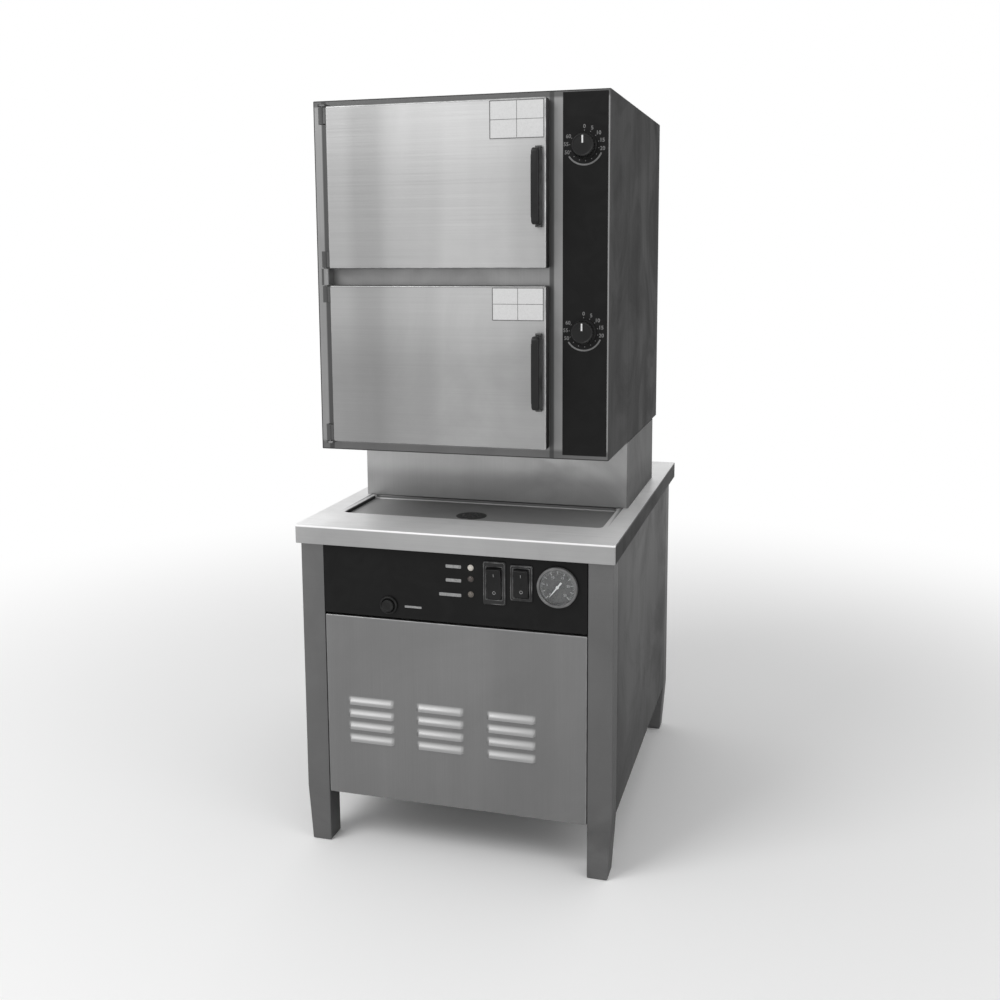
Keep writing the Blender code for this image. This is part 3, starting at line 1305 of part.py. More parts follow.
def build_boiler():
    """Boiler tank, its lid with the immersion heater loops, and the water level column."""
    seat = SHELF_TOP + GAP
    vessel(
        "boiler_tank", BOILER_RADIUS, BOILER_HEIGHT, BOILER_WALL, BOILER_MOUTH,
        HEATER_LID_RADIUS, BOILER_FLANGE, BOILER_SHOULDER, "brushed_steel",
        (BOILER_X, front(BOILER_SETBACK), seat)
    )
    lid_z = seat + BOILER_HEIGHT + GAP + HEATER_LID_THICKNESS / 2
    lid_place = (BOILER_X, front(BOILER_SETBACK), lid_z)
    lid = add(
        "boiler_heater_lid",
        cylinder_mesh("boiler_heater_lid", HEATER_LID_RADIUS, HEATER_LID_THICKNESS),
        "brushed_steel", lid_place
    )
    half = HEATER_LOOP_HALF
    hairpin = rod_mesh(
        "heater_hairpin",
        bent_path(
            [
                (-half, 0, HEATER_TERMINAL), (-half, 0, -HEATER_LOOP_DROP),
                (half, 0, -HEATER_LOOP_DROP), (half, 0, HEATER_TERMINAL)
            ],
            HEATER_BEND
        ),
        HEATER_TUBE_RADIUS
    )
    rows = [
        (0, (number - (HEATER_LOOPS - 1) / 2) * HEATER_LOOP_PITCH, 0)
        for number in range(HEATER_LOOPS)
    ]
    loops = add_tool("heater_loops", repeated("heater_loops", hairpin, rows), lid_place)
    join(lid, loops)
    vessel(
        "level_column", COLUMN_RADIUS, COLUMN_HEIGHT, COLUMN_WALL, COLUMN_PORT,
        COLUMN_CAP_RADIUS, COLUMN_CAP, COLUMN_SHOULDER, "brass",
        (COLUMN_X, front(COLUMN_SETBACK), seat)
    )


def build_plumbing():
    """Water valve, drain box, electrical box, steam risers and the compartment drain."""
    seat = SHELF_TOP + GAP
    half = VALVE_BODY / 2
    valve = box(
        "water_inlet_valve", (VALVE_X - half, VALVE_Y - half, seat),
        (VALVE_X + half, VALVE_Y + half, seat + VALVE_BODY), "brass", PANEL_EDGE
    )
    join(valve, cylinder_tool(
        "valve_coil", VALVE_COIL_RADIUS, VALVE_COIL_HEIGHT + OVERRUN,
        (VALVE_X, VALVE_Y, seat + VALVE_BODY + (VALVE_COIL_HEIGHT - OVERRUN) / 2)
    ))
    join(valve, cylinder_tool(
        "valve_ports", VALVE_PORT_RADIUS, VALVE_BODY + 2 * VALVE_PORT_REACH,
        (VALVE_X, VALVE_Y, seat + half), "X", HINGE_SIDES
    ))
    drain_y = front(DRAIN_BOX_SETBACK)
    drain_box = pan(
        "drain_box",
        (DRAIN_BOX_X - DRAIN_BOX_WIDTH / 2, drain_y - DRAIN_BOX_DEPTH / 2, seat),
        (
            DRAIN_BOX_X + DRAIN_BOX_WIDTH / 2, drain_y + DRAIN_BOX_DEPTH / 2,
            seat + DRAIN_BOX_HEIGHT
        ),
        DRAIN_BOX_SHEET, (), "brushed_steel", PANEL_EDGE
    )
    outlet_y = front(CAVITY_DRAIN_SETBACK)
    cut(drain_box, cylinder_tool(
        "drain_box_top_inlet", DRAIN_PIPE_RADIUS - STEAM_PIPE_WALL, 2 * OVERRUN,
        (CAVITY_DRAIN_X, outlet_y, seat + DRAIN_BOX_HEIGHT)
    ))
    cut(drain_box, cylinder_tool(
        "drain_box_front_inlet", DRAIN_BORE - COUNTER_SHEET, 2 * OVERRUN,
        (DRAIN_X, drain_y - DRAIN_BOX_DEPTH / 2, DRAIN_HOSE_LEVEL), "-Y"
    ))
    pipe(
        "compartment_drain_pipe",
        [
            (CAVITY_DRAIN_X, outlet_y, DOOR_CENTRES[1] - CAVITY_OUTER_HEIGHT / 2 - GAP),
            (CAVITY_DRAIN_X, outlet_y, seat + DRAIN_BOX_HEIGHT + GAP)
        ],
        DRAIN_PIPE_RADIUS, STEAM_PIPE_WALL, "copper", PIPE_BEND
    )
    lid_top = seat + BOILER_HEIGHT + GAP + HEATER_LID_THICKNESS + GAP
    for level, centre in zip(LEVELS, DOOR_CENTRES):
        x = BOILER_X + RISER_FROM_BOILER[level]
        inlet = centre + STEAM_INLET_RISE
        riser_y = front(RISER_SETBACK)
        pipe(
            level + "_steam_pipe",
            [
                (x, front(BOILER_SETBACK), lid_top), (x, front(BOILER_SETBACK), STEAM_RUN_LEVEL),
                (x, riser_y, STEAM_RUN_LEVEL), (x, riser_y, inlet), (x, CAVITY_BACK + GAP, inlet)
            ],
            STEAM_PIPE_RADIUS, STEAM_PIPE_WALL, "copper", PIPE_BEND
        )
    box_y = front(ELECTRIC_BOX_SETBACK)
    electric = pan(
        "electrical_box",
        (ELECTRIC_BOX_X - ELECTRIC_BOX_WIDTH / 2, box_y, seat),
        (
            ELECTRIC_BOX_X + ELECTRIC_BOX_WIDTH / 2, box_y + ELECTRIC_BOX_DEPTH,
            seat + ELECTRIC_BOX_HEIGHT
        ),
        ELECTRIC_BOX_SHEET, (), "casing_steel", PANEL_EDGE
    )
    cut(electric, cylinder_tool(
        "electrical_cable_entry", CABLE_ENTRY_RADIUS, 2 * OVERRUN,
        (ELECTRIC_BOX_X, box_y, seat + ELECTRIC_BOX_HEIGHT / 2), "-Y"
    ))


build_cabinet()
build_counter()
build_front_panels()
build_gauge()
build_lights()
for rocker_switch in SWITCHES:
    build_switch(rocker_switch)
build_reset_button()
build_pedestal()
build_head_shell()
build_hinge_brackets()
for door_level, door_centre in zip(LEVELS, DOOR_CENTRES):
    build_cavity(door_level, door_centre)
    build_handle(door_level, door_centre, build_door(door_level, door_centre))
    build_timer(door_level, door_centre)
build_boiler()
build_plumbing()
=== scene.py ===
"""Looks of the pressureless steamer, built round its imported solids. Metres, +Z up, front -Y."""
from math import cos, pi, radians, sin

import bpy
import numpy as np
from mathutils import Matrix, Vector


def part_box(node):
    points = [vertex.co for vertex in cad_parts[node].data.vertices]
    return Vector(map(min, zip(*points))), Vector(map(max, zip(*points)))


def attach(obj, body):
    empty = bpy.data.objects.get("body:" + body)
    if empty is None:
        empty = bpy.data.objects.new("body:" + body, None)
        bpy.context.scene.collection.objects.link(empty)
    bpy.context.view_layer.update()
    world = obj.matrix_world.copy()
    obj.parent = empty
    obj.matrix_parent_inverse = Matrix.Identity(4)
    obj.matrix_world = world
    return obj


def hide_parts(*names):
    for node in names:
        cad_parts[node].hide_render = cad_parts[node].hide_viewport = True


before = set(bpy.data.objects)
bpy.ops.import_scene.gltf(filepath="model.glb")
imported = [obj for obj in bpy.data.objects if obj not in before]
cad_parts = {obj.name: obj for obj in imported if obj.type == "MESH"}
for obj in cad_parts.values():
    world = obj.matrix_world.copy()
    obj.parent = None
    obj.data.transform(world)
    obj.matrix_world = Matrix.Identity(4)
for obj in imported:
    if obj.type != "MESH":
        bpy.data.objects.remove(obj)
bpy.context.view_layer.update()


def in_scene(name, data):
    """A new object, put in the scene."""
    made = bpy.data.objects.new(name, data)
    bpy.context.scene.collection.objects.link(made)
    return made


# The camera stands at chest height, right of the doors, looks slightly down, and is shifted down
# because the photograph's frame is cut lower than its optical axis.
yaw, pitch, roll = 0.2791, 0.1370, -0.0057
ahead = Vector((-sin(yaw) * cos(pitch), cos(yaw) * cos(pitch), -sin(pitch)))
level_right = Vector((cos(yaw), sin(yaw), 0))
level_up = level_right.cross(ahead)
right = level_right * cos(roll) + level_up * sin(roll)
up = level_up * cos(roll) - level_right * sin(roll)
camera = in_scene("camera", bpy.data.cameras.new("camera"))
camera_at = Vector((0.6369, -2.2848, 1.1369))
turned_to = Matrix((right, up, -ahead)).transposed().to_4x4()
camera.matrix_world = Matrix.Translation(camera_at) @ turned_to
camera.data.lens = 40.52
camera.data.shift_y = -0.0925
bpy.context.scene.camera = camera
bpy.context.scene.view_settings.view_transform = "Standard"


def placed(tree, kind, wires=None, **settings):
    """A shader node with its settings, whose inputs are wired to sockets or given plain values."""
    made = tree.nodes.new(kind)
    for name, value in settings.items():
        setattr(made, name, value)
    for name, value in (wires or {}).items():
        if isinstance(value, bpy.types.NodeSocket):
            tree.links.new(value, made.inputs[name])
        else:
            made.inputs[name].default_value = value
    return made


def worked(tree, operation, *terms):
    """The result of one step of arithmetic on sockets or plain numbers."""
    return placed(tree, "ShaderNodeMath", dict(enumerate(terms)), operation=operation).outputs[0]


def ranged(tree, value, low, high, to_low=0.0, to_high=1.0, **settings):
    """A value carried over from one range to another."""
    return placed(tree, "ShaderNodeMapRange", {
        "Value": value, "From Min": low, "From Max": high, "To Min": to_low, "To Max": to_high
    }, **settings).outputs[0]


def seen_straight(tree):
    """1 for the camera's rays and for mirrored and refracted ones, and 0 for scattered light."""
    rays = placed(tree, "ShaderNodeLightPath").outputs
    seen = rays["Is Camera Ray"]
    for ray in ("Is Glossy Ray", "Is Transmission Ray"):
        seen = worked(tree, "MAXIMUM", seen, rays[ray])
    return seen


# The studio: a white room that the camera, metal and glass see at full strength, a lower even
# light for everything else, a large lamp from the upper left front and a weak one on the right.
world = bpy.data.worlds.new("studio")
bpy.context.scene.world = world
world.use_nodes = True
room = world.node_tree
room.nodes.clear()
even_light = 0.68
background = placed(room, "ShaderNodeBackground", {
    "Color": (1, 1, 1, 1), "Strength": ranged(room, seen_straight(room), 0, 1, even_light, 1)
})
placed(room, "ShaderNodeOutputWorld", {"Surface": background.outputs[0]})
lamps_aim = Vector((0, 0, 0.8))
for name, place, size, power in (
    ("key_lamp", (-1.7, -2.4, 3.1), 1.8, 55), ("fill_lamp", (2.6, -1.6, 1.6), 1.6, 8)
):
    lamp = bpy.data.lights.new(name, "AREA")
    lamp.size = size
    lamp.energy = power
    holder = in_scene(name, lamp)
    holder.location = place
    holder.rotation_euler = (lamps_aim - Vector(place)).to_track_quat("-Z", "Y").to_euler()

# The floor: a wide pale sheet just under the feet, which fades into the white room 1 to 3 m out.


def finish(name):
    """A new material, its node tree, its shader and its object coordinates."""
    made = bpy.data.materials.new(name)
    made.use_nodes = True
    tree = made.node_tree
    spot = placed(tree, "ShaderNodeTexCoord").outputs["Object"]
    return made, tree, tree.nodes["Principled BSDF"], spot


floor_half, fade_start, fade_end = 12, 0.9, 2.6
floor_mesh = bpy.data.meshes.new("floor")
floor_mesh.from_pydata([
    (x * floor_half, y * floor_half, 0) for x, y in ((-1, -1), (1, -1), (1, 1), (-1, 1))
], [], [(0, 1, 2, 3)])
floor = in_scene("floor", floor_mesh)
floor.location.z = -0.0005
floor_paint, paint, shader, spot = finish("floor_paint")
shader.inputs["Base Color"].default_value = (0.93, 0.93, 0.93, 1)
shader.inputs["Roughness"].default_value = 0.85
reach = placed(paint, "ShaderNodeVectorMath", {0: spot}, operation="LENGTH").outputs["Value"]
fade = ranged(paint, reach, fade_start, fade_end, interpolation_type="SMOOTHSTEP")
blend = placed(paint, "ShaderNodeMixShader", {
    0: worked(paint, "MULTIPLY", seen_straight(paint), fade), 1: shader.outputs[0],
    2: placed(paint, "ShaderNodeEmission", {"Strength": 1.0}).outputs[0]
})
paint.links.new(blend.outputs[0], paint.nodes["Material Output"].inputs["Surface"])
floor_mesh.materials.append(floor_paint)

# Legs, side and rear skins and bottom shelf: folded from grey finished sheet, with closed feet.
# Their solids have the right shape already, so they keep it and get a horizontally brushed
# finish, dulled and scuffed towards the floor.


def effect(name, inputs, outputs):
    """An empty shader group with named sockets, and its input and output nodes."""
    group = bpy.data.node_groups.new(name, "ShaderNodeTree")
    for side, sockets in (("INPUT", inputs), ("OUTPUT", outputs)):
        for socket, kind in sockets.items():
            group.interface.new_socket(name=socket, in_out=side, socket_type="NodeSocket" + kind)
    return group, placed(group, "NodeGroupInput"), placed(group, "NodeGroupOutput")


def noise(tree, vector, scale, detail, **more):
    """Fractal noise on a vector, as a value round 0.5."""
    return placed(tree, "ShaderNodeTexNoise", {
        "Vector": vector, "Scale": scale, "Detail": detail, **more
    }).outputs[0]


# Brushed grain: fine noise on a stretched vector, plus broader streaks of the same direction.
grain_effect, given, result = effect("brushed_grain", {"Vector": "Vector"}, {"Grain": "Float"})
fine = noise(grain_effect, given.outputs["Vector"], 1.0, 4.0, Roughness=0.6)
broad = noise(grain_effect, given.outputs["Vector"], 0.11, 2.0)
both = placed(grain_effect, "ShaderNodeMix", {"Factor": 0.22, 2: fine, 3: broad}, data_type="FLOAT")
spread = ranged(grain_effect, both.outputs[0], 0.3, 0.7)
grain_effect.links.new(spread, result.inputs["Grain"])

# Handling: cloudy smears where a cloth or a hand has passed, as noise warped by itself.
smear_effect, given, result = effect(
    "wiped_smears", {"Vector": "Vector", "Size": "Float"}, {"Smear": "Float"}
)
cloud = noise(
    smear_effect, given.outputs["Vector"], given.outputs["Size"], 5.0, Roughness=0.55,
    Distortion=1.6
)
spread = ranged(smear_effect, cloud, 0.42, 0.72)
smear_effect.links.new(spread, result.inputs["Smear"])

# Worn folds: the piece's own fold attribute, broken up by noise. On steel its brightening is partly
# rubbed folds and partly a painted highlight on the edges.
wear_effect, given, result = effect(
    "worn_folds", {"Vector": "Vector", "Fold": "Float"}, {"Wear": "Float"}
)
patch = noise(wear_effect, given.outputs["Vector"], 60.0, 3.0)
patch = ranged(wear_effect, patch, 0.35, 0.65)
broken = worked(wear_effect, "MULTIPLY", patch, given.outputs["Fold"])
wear_effect.links.new(broken, result.inputs["Wear"])


def used(tree, group, wires):
    """The result of one effect group placed in a material."""
    return placed(tree, "ShaderNodeGroup", wires, node_tree=group).outputs[0]


def own(tree, layer):
    """A piece's own value at each point: how far it is folded, or how much painted highlight or
    painted shade it has.
    """
    return placed(tree, "ShaderNodeAttribute", attribute_name=layer).outputs["Fac"]


def mixed(tree, factor, low, high, **settings):
    """A colour that runs from low to high with a factor; each is a socket, a grey or a colour."""
    values = {"Factor": factor}
    for slot, value in ((6, low), (7, high)):
        if isinstance(value, (int, float)):
            value = (value,) * 3
        values[slot] = value if isinstance(value, bpy.types.NodeSocket) else (*value, 1)
    return placed(tree, "ShaderNodeMix", values, data_type="RGBA", **settings).outputs[2]


def bumped(tree, height, strength, distance, **under):
    """A normal tilted by a height, over the normal under it."""
    return placed(tree, "ShaderNodeBump", {
        "Height": height, "Strength": strength, "Distance": distance, **under
    }).outputs[0]


def brushed_steel(name, tone, roughness, grain=(5, 5, 620), metallic=0.92, smear=0.25,
                  smear_size=3.5, floor_scuffs=False, glance=1.0, painted_reflections=0.05, painted_shade_bands=()):
    """Brushed stainless sheet: tone and roughness follow its grain, smears and worn folds, whose
    brightening is partly a painted highlight.

    Glance is its reflection at a low angle. The painted reflections share is how far broad upright
    stripes of painted reflection vary its tone, and where the piece has a painted shade or a
    painted highlight attribute the tone goes down or up with it. The painted shade bands hold
    (axis, middle, half width, share) of each dark line or band of painted shade.
    """
    made, tree, shader, spot = finish(name)
    stretched = placed(tree, "ShaderNodeMapping", {"Vector": spot, "Scale": grain}).outputs[0]
    lines = used(tree, grain_effect, {"Vector": stretched})
    smears = used(tree, smear_effect, {"Vector": spot, "Size": smear_size})
    fold_wear_and_highlight = used(tree, wear_effect, {"Vector": spot, "Fold": own(tree, "fold")})
    # Painted reflections: broad upright stripes that vary the tone.
    upright = placed(tree, "ShaderNodeMapping", {"Vector": spot, "Scale": (9, 9, 0.7)}).outputs[0]
    bands = noise(tree, upright, 1.0, 2.0)
    bands = ranged(tree, bands, 0.35, 0.65, tone * (1 - painted_reflections), tone * (1 + painted_reflections))
    bands = placed(tree, "ShaderNodeCombineXYZ", {0: bands, 1: bands, 2: bands}).outputs[0]
    colour = mixed(tree, 1.0, bands, mixed(tree, lines, 0.95, 1.05), blend_type="MULTIPLY")
    dull = worked(tree, "MULTIPLY", smears, smear)
    colour = mixed(tree, dull, colour, tone * 0.72)
    # Folds brighten, partly as rubbed metal and partly as a painted highlight.
    colour = mixed(tree, fold_wear_and_highlight, colour, min(tone * 1.45, 0.9))
    # Painted highlight and painted shade, read from the piece's own attributes.
    colour = mixed(tree, own(tree, "painted_highlight"), colour, min(tone * 1.7, 0.9))
    colour = mixed(tree, own(tree, "painted_shade"), colour, tone * 0.12)
    # Each listed band darkens the tone as painted shade.
    for axis, middle, half, share in painted_shade_bands:
        reach = placed(tree, "ShaderNodeSeparateXYZ", {0: spot}).outputs[axis]
        reach = worked(tree, "ABSOLUTE", worked(tree, "SUBTRACT", reach, middle))
        band = ranged(tree, reach, half, half * 0.5, 0, share, interpolation_type="SMOOTHSTEP")
        colour = mixed(tree, band, colour, tone * 0.2)
    if floor_scuffs:
        height = placed(tree, "ShaderNodeSeparateXYZ", {0: spot}).outputs["Z"]
        low = ranged(tree, height, 0.16, 0, 0, 0.75)
        colour = mixed(tree, worked(tree, "MULTIPLY", low, smears), colour, tone * 0.45)
    tree.links.new(colour, shader.inputs["Base Color"])
    shader.inputs["Metallic"].default_value = metallic
    shader.inputs["Specular Tint"].default_value = (glance, glance, glance, 1)
    rough = ranged(tree, lines, 0, 1, roughness - 0.04, roughness + 0.05)
    rough = worked(tree, "MULTIPLY_ADD", dull, 0.35, rough)
    tree.links.new(rough, shader.inputs["Roughness"])
    waved = bumped(tree, noise(tree, spot, 2.6, 1.0), 0.10, 0.02)
    tree.links.new(bumped(tree, lines, 0.10, 0.0004, Normal=waved), shader.inputs["Normal"])
    return made


def refinished(material, *nodes):
    """CAD nodes that keep their shape and get a finish of the scene's own."""
    for node in nodes:
        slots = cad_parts[node].data.materials
        slots.clear()
        slots.append(material)


leg_steel = brushed_steel("leg_steel", 0.15, 0.42, smear=0.35, floor_scuffs=True, glance=0.6)
refinished(leg_steel, "leg_front_left", "leg_front_right", "leg_rear_left", "leg_rear_right")
# The skins' very dark tone and their broad upright stripes are painted shade and painted
# reflections on the cabinet's sides.
skin_steel = brushed_steel("cabinet_skin_steel", 0.085, 0.40, grain=(620, 620, 5), smear=0.4,
                           glance=0.6, painted_reflections=0.3)
refinished(skin_steel, "side_panel_left", "side_panel_right", "rear_panel", "bottom_shelf")

# Boiler, level column, water valve, drain and electrical boxes and pipes, which stand on the
# shelf and run up through the pedestal. Their solids stay, with rolled steel, brass and copper.
vessel_steel = brushed_steel("rolled_vessel_steel", 0.42, 0.36, grain=(6, 6, 300), smear=0.5)
refinished(vessel_steel, "boiler_tank", "boiler_heater_lid", "tray_drain_pipe", "drain_box")
refinished(
    brushed_steel("electrical_box_steel", 0.20, 0.5, grain=(80, 80, 80), smear=0.2),
    "electrical_box"
)


def warm_metal(name, colour, roughness):
    """Brass or copper: a mottled tarnish between its colour and a browner one."""
    made, tree, shader, spot = finish(name)
    tarnish = used(tree, smear_effect, {"Vector": spot, "Size": 22.0})
    colour = mixed(tree, tarnish, colour, [part * 0.55 for part in colour])
    tree.links.new(colour, shader.inputs["Base Color"])
    rough = ranged(tree, tarnish, 0, 1, roughness, roughness + 0.25)
    tree.links.new(rough, shader.inputs["Roughness"])
    shader.inputs["Metallic"].default_value = 1.0
    return made


refinished(warm_metal("cast_brass", (0.60, 0.43, 0.20), 0.35), "level_column", "water_inlet_valve")
refinished(
    warm_metal("copper_tube", (0.66, 0.36, 0.25), 0.28),
    "compartment_drain_pipe", "upper_steam_pipe", "lower_steam_pipe"
)

# The counter: one bent sheet with a deep fascia and a hemmed lower lip, and in front of the
# pedestal a pressed drip tray with its drain hole. Bright, with grain along its width.
across_up_out = {
    "-Y": ((1, 0, 0), (0, 0, 1), (0, -1, 0)), "+X": ((0, 1, 0), (0, 0, 1), (1, 0, 0)),
    "+Z": ((1, 0, 0), (0, 1, 0), (0, 0, 1)), "+Y": ((-1, 0, 0), (0, 0, 1), (0, 1, 0))
}


def smoothed(mesh, sharp_degrees=38):
    """A mesh with smooth faces, left sharp where it turns by more than some degrees."""
    mesh.shade_smooth()
    mesh.set_sharp_from_angle(angle=radians(sharp_degrees))
    return mesh


def laid(mesh, layer_name, values):
    """A value at each point of a mesh, which its finish reads."""
    layer = mesh.attributes.new(layer_name, "FLOAT", "POINT")
    layer.data.foreach_set("value", np.ravel(values).astype(np.float32))


def points_of(mesh):
    """The points of a mesh, as rows of x, y and z."""
    spots = np.empty(len(mesh.vertices) * 3)
    mesh.vertices.foreach_get("co", spots)
    return spots.reshape(-1, 3)


def numbered(points):
    """The numbers of the points in a grid (..., 3)."""
    return np.arange(points.size // 3).reshape(points.shape[:-1])


def wrapped_quads(index):
    """The quads of a grid of point numbers, each row of which closes on itself."""
    after = np.roll(index, -1, axis=-1)
    return np.stack([
        index[..., :-1, :], after[..., :-1, :], after[..., 1:, :], index[..., 1:, :]
    ], axis=-1)


def meshed(name, points, quads, ends=()):
    """A mesh from its points, its quads and any larger faces that close its ends."""
    mesh = bpy.data.meshes.new(name)
    faces = quads.reshape(-1, 4).tolist() + [end.tolist() for end in ends]
    mesh.from_pydata(points.reshape(-1, 3).tolist(), [], faces)
    return mesh


def skin(name, points, caps=(True, True), fold=None, ring_closed=False):
    """Quads over a grid of points (along, round, 3), whose ends are capped or joined."""
    index = numbered(points)
    ends = [end for end, capped in zip((index[0, ::-1], index[-1]), caps) if capped]
    if ring_closed:
        index = np.concatenate([index, index[:1]])
    mesh = meshed(name, points, wrapped_quads(index), ends)
    if fold is not None:
        laid(mesh, "fold", np.repeat(fold, points.shape[1]))
    return smoothed(mesh)


def set_out(way, across, up, out):
    """Points at distances across, up and out from an origin, where out is the given way."""
    axes = np.array(across_up_out[way], float)
    return np.stack(np.broadcast_arrays(across, up, out), axis=-1) @ axes


def ringed_skin(name, origin, way, rings, fold, arc_steps=5, **ends):
    """Rounded rectangles stacked along an outward way, joined into one skin.

    Each ring is (half width, half height, corner radius, lift, across, up). Its points are the
    corner centres plus radius * (cos a, sin a), with a running through a full turn. With both
    halves equal to the radius a ring is a circle.
    """
    rings = np.asarray(rings, float)
    sign_across = np.repeat([1, -1, -1, 1], arc_steps)
    sign_up = np.repeat([1, 1, -1, -1], arc_steps)
    angle = (np.repeat([0, 1, 2, 3], arc_steps) + np.tile(np.linspace(0, 1, arc_steps), 4)) * pi / 2
    half_w, half_h, corner, lift, shift_a, shift_u = (rings[:, [k]] for k in range(6))
    flat_a = shift_a + sign_across * (half_w - corner) + corner * np.cos(angle)
    flat_u = shift_u + sign_up * (half_h - corner) + corner * np.sin(angle)
    points = np.array(origin, float) + set_out(way, flat_a, flat_u, lift)
    return skin(name, points, fold=fold, **ends)


def eased(corners, radius, steps=4):
    """A profile whose inner corners are rounded, and how hard it turns at each point.

    An inner corner C, with unit ways a and b to its neighbours, becomes the curve
    C + a r (1 - t)^2 + b r t^2 for t from 0 to 1, with a point on each flat at 1.6 r beside it.
    """
    corners = np.asarray(corners, float)
    middle = corners[1:-1, None]
    back = corners[:-2, None] - middle
    ahead = corners[2:, None] - middle
    back /= np.linalg.norm(back, axis=2, keepdims=True)
    ahead /= np.linalg.norm(ahead, axis=2, keepdims=True)
    t = np.linspace(0, 1, steps)
    near = np.concatenate([[1.6], (1 - t) ** 2, [0]])[None, :, None]
    far = np.concatenate([[0], t ** 2, [1.6]])[None, :, None]
    reach = np.broadcast_to(radius, len(middle))[:, None, None]
    bends = (middle + reach * (near * back + far * ahead)).reshape(-1, corners.shape[1])
    turn = np.tile(np.concatenate([[0], 4 * t * (1 - t), [0]]), len(middle))
    return (
        np.concatenate([corners[:1], bends, corners[-1:]]), np.concatenate([[0], turn, [0]])
    )


def shown(name, mesh, material, body, *nodes):
    """A finished piece at the origin, which rides on a body and stands for CAD nodes."""
    piece = in_scene(name, mesh)
    mesh.materials.append(material)
    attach(piece, body)
    if nodes:
        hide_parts(*nodes)
    return piece


counter_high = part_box("counter_top")[1]
half_x, half_y = counter_high.x, counter_high.y
sheet, tray_depth = 0.0015, 0.008
tray_half, tray_corner, tray_middle = np.array((0.258, 0.084)), 0.012, (0.0, -0.201)
drain_radius, drain_middle = 0.022, (-0.014, -0.222)


def edge_row(inset, corner, lift):
    """A row of the sheet along the counter's edge, whose lift is from the top."""
    return (half_x - inset, half_y - inset, corner, lift, 0, 0)


def tray_row(outset, lift, corner=tray_corner):
    """A row round the tray."""
    return (*(tray_half + outset), corner, lift, *tray_middle)


def drain_row(lift):
    """A row round the drain hole."""
    return (drain_radius, drain_radius, drain_radius, lift, *drain_middle)


# From under the tray out to the hem, up the fascia, and back in over the top to the drain.
rim = [
    drain_row(-tray_depth - sheet), tray_row(0, -tray_depth - sheet), tray_row(sheet, -sheet),
    edge_row(sheet, 0.003, -sheet), edge_row(sheet, 0.003, -0.0335),
    edge_row(2 * sheet, 0.003, -0.0349), edge_row(0, 0.004, -0.0350), edge_row(0, 0.004, 0),
    tray_row(0.014, 0), tray_row(0.010, 0), tray_row(0, 0),
    tray_row(-sheet, -tray_depth, tray_corner * 0.8), drain_row(-tray_depth),
    drain_row(-tray_depth - sheet * 0.9)
]
rings, turns = eased(rim, [
    0.001, 0.001, 0.001, 0.0008, 0.0004, 0.0008, 0.0025, 0.001, 0.001, 0.0025, 0.002, 0.0004
])
counter_steel = brushed_steel(
    "counter_steel", 0.95, 0.38, grain=(6, 520, 520), smear=0.35, smear_size=5.0, metallic=0.5,
    glance=0.7
)
counter_mesh = ringed_skin(
    "counter_top_sheet", (0, 0, counter_high.z), "+Z", rings, turns, arc_steps=9,
    caps=(False, False), ring_closed=True
)
# Painted shade: the tray, its back wall and the fascia all round are darkened by the attribute laid
# below, most at the tray's back.
spots = points_of(counter_mesh)
below_top = counter_high.z - spots[:, 2]
behind = spots[:, 1] > tray_middle[1] + tray_half[1] - 0.004
by_tray = (np.abs(spots[:, :2] - tray_middle) < tray_half + 0.0105).all(axis=1)
in_tray = ((below_top > 0.006) | behind) & by_tray
at_back = in_tray & behind & (below_top < 0.006)
on_fascia = below_top > 0.0035
laid(counter_mesh, "painted_shade", np.select([at_back, in_tray, on_fascia], [1.0, 0.66, 0.70], 0))
shown("counter_top_sheet", counter_mesh, counter_steel, "cabinet", "counter_top")
# Its side fascias get a darker copy of its finish, as painted shade.
counter_mesh.materials.append(brushed_steel(
    "counter_side_painted_shade_steel", 0.20, 0.42, grain=(520, 6, 520), smear=0.4, smear_size=5.0, glance=0.35
))
facing = np.empty(len(counter_mesh.polygons) * 3)
counter_mesh.polygons.foreach_get("normal", facing)
shaded_sides = np.abs(facing.reshape(-1, 3)[:, 0]) > 0.9
counter_mesh.polygons.foreach_set("material_index", shaded_sides.astype(np.int32))

# The drain strainer: a dished stainless disc with rings of punched holes, loose in the tray.
# It is a polar grid whose holes are left out, given its thickness by Solidify.
strainer_low, strainer_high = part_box("drain_strainer")
radius = (strainer_high.x - strainer_low.x) / 2
spokes, circles = 96, 30
angle = np.linspace(0, 2 * pi, spokes, endpoint=False)
reach = np.linspace(0.0006, radius, circles)[:, None]
dish = 0.0013 - 0.0009 * (reach / radius) ** 4
middle = (strainer_low + strainer_high) / 2
points = np.array((middle.x, middle.y, strainer_low.z)) + set_out(
    "+Z", reach * np.cos(angle), reach * np.sin(angle), dish
)
index = numbered(points)
quads = wrapped_quads(index)[..., [0, 3, 2, 1]]
mid_reach = (reach[:-1] + reach[1:]) / 2
mid_angle = angle + pi / spokes
punched = np.zeros((circles - 1, spokes), bool)
hole_radius = 0.0027
for ring_reach, holes in ((0.0085, 6), (0.0170, 12)):
    swing = (mid_angle * holes / (2 * pi) + 0.5) % 1 - 0.5
    side = swing * 2 * pi / holes * ring_reach
    punched |= side ** 2 + (mid_reach - ring_reach) ** 2 < hole_radius ** 2
strainer_mesh = meshed("strainer_disc", points, quads[~punched], [index[0]])
strainer_mesh.shade_smooth()
# The disc's low tone is painted shade, like that of the tray round it.
strainer_steel = brushed_steel(
    "strainer_steel", 0.16, 0.45, grain=(6, 520, 520), smear=0.5, glance=0.5
)
strainer = shown("strainer_disc", strainer_mesh, strainer_steel, "cabinet", "drain_strainer")


def thickened(piece, thickness):
    """Gives a single sheet its thickness behind its face."""
    wall = piece.modifiers.new("wall", "SOLIDIFY")
    wall.thickness = thickness
    wall.offset = -1


